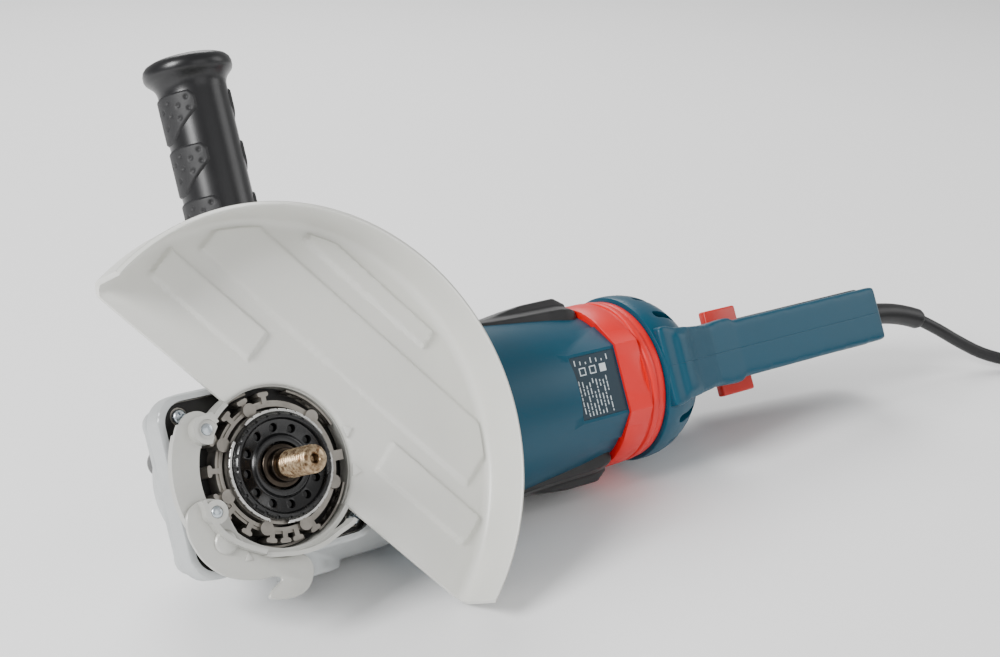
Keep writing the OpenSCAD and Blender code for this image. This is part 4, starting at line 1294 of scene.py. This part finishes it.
def build_ring():
    """Red elastomer ring that carries the rear handle, with its ridge and grooves."""
    ring = turned("vibration_damper", [
        (43.1, 232.5), (47.8, 232.5), (48.9, 233), (49.4, 234), (49.4, 247.6), (49, 249.2), (47.9, 250),
        (47.5, 251), (47.7, 252), (48.7, 252.6), (49, 253.5), (49, 255.6), (48.6, 256.6), (48, 257.2),
        (48.1, 258.4), (48.3, 259), (48.3, 261), (47.9, 262.2), (47.2, 262.5), (43.1, 262.5),
        (43.1, 232.5)], 144)
    move_by(ring, ON_MOTOR)
    facet = plate("facet", [(-47.6, 20), (-47.6, -20), (-35, -34.5), (-20, -34.5), (-20, 34.5), (-35, 34.5)],
                  232.5, 249)
    move_by(facet, ACROSS_MOTOR)
    cut(ring, block("level", (230, -60, -20), (249, -47.6, 20)))
    fuse(ring, facet)
    cut(ring, move_by(rod("bore", 230, 264, 43.1, steps=96), ON_MOTOR))
    bevel(ring, 0.4, 2, 30)
    return settle(ring, TOOL, "root", "red_rubber", ("vibration_ring",), 34)


# ---------------------------------------------------------------- rear handle
LOOP = [(272, -46), (300, -42.5), (314, -38), (400, -33), (468, -29), (476, -25), (482, -14),
        (482, 14), (476, 24), (464, 30), (400, 40), (340, 47), (310, 48), (280, 46)]
GAP = [(336, -25), (440, -19.5), (450, -14), (448, -6), (436, -1), (345, 11), (335, 8), (328, -2), (328, -16)]
LOOP_SCREWS = ((324.2, -12), (459, -18), (318, 41))
BASE = [(0, 263), (49, 263), (50.2, 263.5), (50.6, 264.6), (50.6, 270), (50.1, 275), (48.9, 280),
        (46.8, 285), (43.9, 290), (40, 295), (35.6, 299.4), (30.6, 303), (25, 305.2), (20, 306), (0, 306)]


def base_bell(name):
    """Outside of the handle's base, in tool millimetres."""
    return move_by(turned(name, BASE, 144), ON_MOTOR)


def build_handle_base():
    """Moulded bell the rear handle turns on, with cooling slots and the slide's track."""
    bell = base_bell("handle_bell")
    fuse(bell, move_by(rod("tenon", 246, 264, 39.9, steps=96), ON_MOTOR))
    cut(bell, move_by(turned("hollow", [
        (0, 245), (37, 245), (37, 262), (47.3, 266), (47.3, 270), (45.8, 275.5), (42, 281.5), (36, 287.3),
        (29, 292), (19.5, 295), (0, 295)], 96), ON_MOTOR))
    cut(bell, move_by(rod("wires", 288, 310, 8, (0, 16)), ON_MOTOR))
    for side in (-1, 1):
        for angle in (40, 62, 84, 106, 128):
            slot = plate("slot", shift(round_rectangle(9.5, 2.9, 2.4, 30), 283.5, 0), 30, 60)
            cut(bell, spun(slot, 90 - side * angle, "X"))
    cut(bell, block("track", (267, 44, -8.3), (281, 56, 8.3)))
    bevel(bell, 0.35, 2, 45)
    return settle(bell, TOOL, "rear_handle", "blue_nylon", ("handle_base",), 32)


def build_release():
    """Slide that frees the rear handle's turn, with three finger ribs."""
    slide = block("turn_release", (267.3, 47.8, -8), (276.5, 52.8, 8))
    bevel(slide, 0.9, 3)
    for i in range(3):
        rib = block("rib", (268.6 + i * 2.9, 52, -6.8), (270 + i * 2.9, 53.8, 6.8))
        bevel(rib, 0.4, 2)
        fuse(slide, rib)
    return settle(slide, TOOL, "handle_release", "black_plastic", ("handle_release",), 38)


def loop_shape():
    """The closed handle before it is split in its two shells, its root widened to the base."""
    loop = plate("loop", curved(LOOP, 4)[::-1], -18, 18)
    root = plate("root", [
        (264, -51.4), (268, -51.2), (290, -47), (314, -39), (336, -36.6), (336, 47), (310, 48), (280, 46.4),
        (264, 30)][::-1], -24, 24)
    flare = plate("flare", curved([
        (262, -24), (262, 24), (276, 22.4), (292, 20.6), (312, 19), (340, 17.6), (340, -17.6), (312, -19),
        (292, -20.6), (276, -22.4)], 3), -60, 60)
    common(root, move_by(flare, ON_SPINDLE))
    fuse(loop, root)
    cut(loop, plate("gap", curved(GAP, 4)[::-1], -30, 30))
    cast(loop, 1.3, 16)
    bell = base_bell("bell")
    cut(loop, bell,
        plate("grip_hollow", [(304, 24), (350, 14.5), (436, 3), (460, 8), (472, 14), (460, 26), (400, 36),
                              (324, 43), (322, 34), (304, 34)], -15, 15),
        plate("bar_hollow", [(322, -34), (400, -29.6), (446, -27), (446, -23.4), (400, -25.4), (322, -29.4)],
              -15, 15),
        block("trigger_slot", (338, -6, -13.5), (433, 24, 13.5)))
    for x, y in LOOP_SCREWS:
        cut(loop, rod("head", 13, 20, 3.6, (x, y), 32), rod("shank", -9, 17, 1.55, (x, y), 24))
    cut(loop, move_by(rod("relief", 468, 490, 7.6), ON_MOTOR))
    return loop


def build_shells():
    """Two moulded halves of the rear handle that meet in a fine seam."""
    loop = loop_shape()
    other = copied(loop)
    for obj, name, node, low, high in (
            (loop, "handle_half_left", "handle_shell_left", -40, 0.03),
            (other, "handle_half_right", "handle_shell_right", -0.03, 40)):
        cut(obj, block("half", (250, -70, low), (510, 70, high)))
        bevel(obj, 0.42, 2, 50)
        obj.name = obj.data.name = name
        settle(obj, TOOL, "rear_handle", "blue_nylon", (node,), 34)


def build_soft_grip():
    """Soft rubber over the back of the grip, its sides pressed with small pads."""
    grip = plate("soft_cover", curved([
        (354, 15), (398, 8.5), (440, 2.5), (455, -4), (474, -8.5), (484, -4), (486.4, 7), (485, 18),
        (478, 28.5), (465, 34), (432, 39.5), (400, 44), (376, 47.4), (360, 49.3), (354, 47),
        (352.6, 32)], 4)[::-1], -19, 19)
    cast(grip, 1.25, 12)
    core = plate("core", [(340, -20), (478, -20), (482, -14), (482, 14), (476, 24), (464, 30), (400, 40),
                          (340, 47)], -18, 18)
    cut(grip, core, move_by(rod("relief", 470, 495, 10), ON_MOTOR))
    for side in (-1, 1):
        for i in range(9):
            for k in range(2):
                x = 372 + i * 10 + k * 5
                y = 36 - 0.14 * (x - 372) - k * 10
                dimple = rod("dimple", 18.4 * side - 0.5, 18.4 * side + 0.5, 2.1, (x, y), 24)
                cut(grip, shifted(dimple, 0, 0, 0.9 * side))
    return settle(grip, TOOL, "rear_handle", "black_rubber", ("soft_grip",), 40)


def build_handle_screws():
    """Three sunk screws of the handle."""
    places = [Matrix.Translation((x, y, 13)) for x, y in LOOP_SCREWS]
    screws = repeated("shell_screws", pan_screw("shell_screw", 3.4, 2.4, 1.5, 18), places)
    return settle(screws, TOOL, "rear_handle", "zinc_steel", ("handle_screws",), 40)


def build_trigger():
    """Red paddle with two side wings, hollow for the lock-off catch."""
    paddle = plate("trigger_paddle", curved([
        (340.5, 14), (342, 7), (346, 2.5), (376, -1), (402, -4.6), (424, -7.4), (429.6, -5), (430.2, -1),
        (429.4, 2), (426, 5), (400, 7.6), (376, 10), (356, 13.8), (346, 16)], 4)[::-1], -13, 13)
    bevel(paddle, 1.6, 3, 40)
    wings = block("wings", (342.5, -6, -27.5), (369.5, 0.4, 27.5))
    bevel(wings, 1.4, 3)
    fuse(paddle, wings, rod("hub", -13, 13, 4.5, (343, 17)))
    cut(paddle, rod("pin", -30, 30, 2.05, (343, 17), 32), block("catch", (384, -12, -5.2), (402, 1, 5.2)))
    return settle(paddle, TOOL, "trigger", "red_plastic", ("trigger",), 36)


def build_catch():
    """Lock-off catch that slides in the trigger."""
    catch = block("lock_off_slider", (384.3, -9, -5), (396, 0.6, 5))
    bevel(catch, 0.9, 3)
    for i in range(3):
        cut(catch, block("groove", (386.5 + i * 3, -9.6, -3.6), (387.6 + i * 3, -8.3, 3.6)))
    return settle(catch, TOOL, "lock_off", "red_plastic", ("lock_off_catch",), 38)


# ---------------------------------------------------------------- side handle
GRIP_RADIUS = 18.5
GRIP_PROFILE = [
    (0, 60.5), (23.6, 60.5), (24.6, 61), (25, 62), (25, 65.6), (24.5, 67), (23, 68.4), (20, 70.2), (17, 72.2),
    (15.3, 74.8), (14.6, 78), (14.5, 82), (14.8, 86), (15.8, 89.4), (17.2, 92.4), (18.2, 95.4),
    (GRIP_RADIUS, 99)]
PATCH_OUTLINE = [(-23.6, 15), (-23.6, 22), (-21, 25), (-8, 25.6), (8, 25.6), (21, 25), (23.6, 22), (23.6, 15),
                 (6, 0.6), (0, 0), (-6, 0.6)]
PATCH_DIMPLES = ((19.2, 21.4), (14, 18), (19.4, 15.4), (13.6, 11.4), (8, 21), (8.4, 14.2), (3.2, 17.4),
                 (4, 8.6))
PATCH_FOOT = 119.4
PATCH_PITCH = 28.4
PATCH_ROWS = 3
PATCH_COLUMNS = (math.radians(172), math.radians(37))


def build_side_handle():
    """Side handle: a satin core with rounded flanges and raised rubber patches round its grip."""
    profile = GRIP_PROFILE + [(GRIP_RADIUS, 99 + i * 2.1) for i in range(1, 50)] + [
        (18.6, 204.4), (19.2, 206.6), (20.4, 208.6), (22, 210.2), (23.4, 211.6), (24, 213.2), (24, 215.6),
        (23.4, 217.6), (22, 219.2), (20, 220.1), (17, 220.5), (6, 220.5), (5.2, 219.6), (0, 219.6)]
    core = turned("side_handle_core", profile, 96)
    cut(core, rod("bore", 60, 112, 5.95))
    shifted(core, *SIDE_AT, 0)
    settle(core, TOOL, "side_handle", "side_grip", ("side_handle_grip",), 36)
    places = [Matrix.Translation((0, 0, PATCH_FOOT + row * PATCH_PITCH)) @ Matrix.Rotation(column, 4, "Z")
              for row in range(PATCH_ROWS) for column in PATCH_COLUMNS]
    pads = repeated("side_handle_patches", grip_pad(), places)
    shifted(pads, *SIDE_AT, 0)
    settle(pads, TOOL, "side_handle", "side_grip", (), 36, look="patch")


def grip_pad():
    """One raised six-sided patch with its dimples, wrapped on the grip's radius, its lower tip at zero."""
    bpy.ops.object.select_all(action="DESELECT")
    bpy.ops.mesh.primitive_grid_add(x_subdivisions=84, y_subdivisions=46, size=1, location=(0, 0, 0))
    pad = named("grip_patch")
    dimples = [(side * x, y) for side in (-1, 1) for x, y in PATCH_DIMPLES]
    for vertex in pad.data.vertices:
        x, y = vertex.co.x * 51, (vertex.co.y + 0.5) * 29.5 - 2
        deep = depth_inside(x, y, PATCH_OUTLINE)
        lift = 1.2 * ease(deep, -0.3, 1.1) - 0.5 * (1 - ease(abs(deep + 0.9), 0.3, 0.9))
        for dx, dy in dimples:
            lift -= 0.75 * (1 - ease(math.hypot(x - dx, y - dy), 0.6, 1.5))
        turn, radius = x / GRIP_RADIUS, GRIP_RADIUS - 0.05 + lift
        vertex.co = (radius * math.cos(turn), radius * math.sin(turn), y)
    solid = pad.modifiers.new("Depth", "SOLIDIFY")
    solid.thickness = 1.6
    solid.offset = -1
    pick(pad)
    bpy.ops.object.modifier_apply(modifier=solid.name)
    return pad


def depth_inside(x, y, outline):
    """Distance to an outline, positive inside it."""
    best, inside = 1e9, False
    for (x0, y0), (x1, y1) in zip(outline, outline[1:] + outline[:1]):
        dx, dy = x1 - x0, y1 - y0
        t = min(1, max(0, ((x - x0) * dx + (y - y0) * dy) / (dx * dx + dy * dy)))
        best = min(best, math.hypot(x - x0 - t * dx, y - y0 - t * dy))
        if (y0 > y) != (y1 > y) and x < x0 + (y - y0) * dx / dy:
            inside = not inside
    return best if inside else -best


# ---------------------------------------------------------------- finishes of the kept nodes
KEPT = {
    "zinc_steel": ["side_handle_stud", "housing_screws"],
    "black_plastic": ["switch_block", "air_baffle"],
    "bearing_steel": ["spindle_bearing", "pinion_bearing", "rear_bearing", "trigger_pin"],
    "bronze": ["spindle_bush"],
    "gear_steel": ["crown_gear", "pinion_gear", "armature_shaft"],
    "spring_steel": ["lock_spring", "brush_springs"],
    "lamination_steel": ["stator_core", "rotor_core"], "copper_wire": ["field_coils", "rotor_windings"],
    "commutator_copper": ["commutator"], "brush_brass": ["brush_holders"], "carbon": ["carbon_brushes"],
    "fan_plastic": ["cooling_fan"], "nickel": ["plug_pins"],
}


def paint_kept():
    """Gives every frame part that stays its own finish."""
    for slot, nodes in KEPT.items():
        for node in nodes:
            for place in frame["nodes"][node].material_slots:
                place.link = "OBJECT"
                place.material = finish(slot)


# ---------------------------------------------------------------- operators and panel
class GRINDER_OT_cord(bpy.types.Operator):
    """Mains cord with its strain relief, coil tie and plug"""
    bl_idname = "grinder.cord"
    bl_label = "Mains cord"

    def execute(self, context):
        build_cord()
        return {"FINISHED"}


class GRINDER_OT_guard(bpy.types.Operator):
    """Sheet guard with its pressed ribs and neck"""
    bl_idname = "grinder.guard"
    bl_label = "Guard"

    def execute(self, context):
        build_guard()
        build_guard_keys()
        build_clamp_band()
        return {"FINISHED"}


class GRINDER_OT_clamp(bpy.types.Operator):
    """Quick clamp: crescent, pins, lever and strap"""
    bl_idname = "grinder.clamp"
    bl_label = "Guard clamp"

    def execute(self, context):
        build_clamp_link()
        build_link_pin()
        build_lever_rivet()
        build_lever()
        build_strap_hook()
        build_hook_pin()
        return {"FINISHED"}


class GRINDER_OT_gear_head(bpy.types.Operator):
    """Gearbox casing, toothed collar and its cover"""
    bl_idname = "grinder.gear_head"
    bl_label = "Gear head"

    def execute(self, context):
        build_gear_case()
        build_collar()
        build_collar_floor()
        build_bearing_cover()
        build_retaining_ring()
        build_flange_screws()
        build_lock_button()
        return {"FINISHED"}


class GRINDER_OT_spindle(bpy.types.Operator):
    """Threaded spindle"""
    bl_idname = "grinder.spindle"
    bl_label = "Spindle"

    def execute(self, context):
        build_spindle()
        return {"FINISHED"}


class GRINDER_OT_motor(bpy.types.Operator):
    """Motor casing with its label, bumpers and ring"""
    bl_idname = "grinder.motor"
    bl_label = "Motor casing"

    def execute(self, context):
        build_motor_casing()
        build_label()
        build_bumpers()
        build_ring()
        return {"FINISHED"}


class GRINDER_OT_rear_handle(bpy.types.Operator):
    """Rear handle with its shells, soft grip and screws"""
    bl_idname = "grinder.rear_handle"
    bl_label = "Rear handle"

    def execute(self, context):
        build_handle_base()
        build_release()
        build_shells()
        build_soft_grip()
        build_handle_screws()
        return {"FINISHED"}


class GRINDER_OT_trigger(bpy.types.Operator):
    """Trigger paddle and its lock-off catch"""
    bl_idname = "grinder.trigger"
    bl_label = "Trigger"

    def execute(self, context):
        build_trigger()
        build_catch()
        return {"FINISHED"}


class GRINDER_OT_side_handle(bpy.types.Operator):
    """Side handle with its rubber patches"""
    bl_idname = "grinder.side_handle"
    bl_label = "Side handle"

    def execute(self, context):
        build_side_handle()
        return {"FINISHED"}


class GRINDER_OT_finishes(bpy.types.Operator):
    """Finishes of the hidden parts"""
    bl_idname = "grinder.finishes"
    bl_label = "Inner finishes"

    def execute(self, context):
        paint_kept()
        return {"FINISHED"}


class GRINDER_OT_stage(bpy.types.Operator):
    """Camera, floor, lights and sky"""
    bl_idname = "grinder.stage"
    bl_label = "Studio"

    def execute(self, context):
        build_camera()
        build_stage()
        return {"FINISHED"}


OPERATORS = (
    GRINDER_OT_stage, GRINDER_OT_cord, GRINDER_OT_gear_head, GRINDER_OT_spindle, GRINDER_OT_guard,
    GRINDER_OT_clamp, GRINDER_OT_motor, GRINDER_OT_rear_handle, GRINDER_OT_trigger, GRINDER_OT_side_handle,
    GRINDER_OT_finishes,
)


class GRINDER_PT_panel(bpy.types.Panel):
    """Buttons for the grinder's pieces"""
    bl_idname = "GRINDER_PT_panel"
    bl_label = "Angle grinder"
    bl_space_type = "VIEW_3D"
    bl_region_type = "UI"
    bl_category = "Grinder"

    def draw(self, context):
        for operator in OPERATORS:
            self.layout.operator(operator.bl_idname)
        for group in (context.scene.grinder_sizes, context.scene.grinder_colours):
            for key in group.__annotations__:
                self.layout.prop(group, key)


CLASSES = (GrinderSizes, GrinderColours, *OPERATORS, GRINDER_PT_panel)


def register():
    for cls in CLASSES:
        bpy.utils.register_class(cls)
    bpy.types.Scene.grinder_sizes = bpy.props.PointerProperty(type=GrinderSizes)
    bpy.types.Scene.grinder_colours = bpy.props.PointerProperty(type=GrinderColours)


def unregister():
    del bpy.types.Scene.grinder_colours
    del bpy.types.Scene.grinder_sizes
    for cls in reversed(CLASSES):
        bpy.utils.unregister_class(cls)


def main():
    """Builds the whole grinder."""
    register()
    bpy.ops.grinder.stage()
    bpy.ops.grinder.cord()
    bpy.ops.grinder.gear_head()
    bpy.ops.grinder.spindle()
    bpy.ops.grinder.guard()
    bpy.ops.grinder.clamp()
    bpy.ops.grinder.motor()
    bpy.ops.grinder.rear_handle()
    bpy.ops.grinder.trigger()
    bpy.ops.grinder.side_handle()
    bpy.ops.grinder.finishes()


if __name__ == "__main__":
    main()
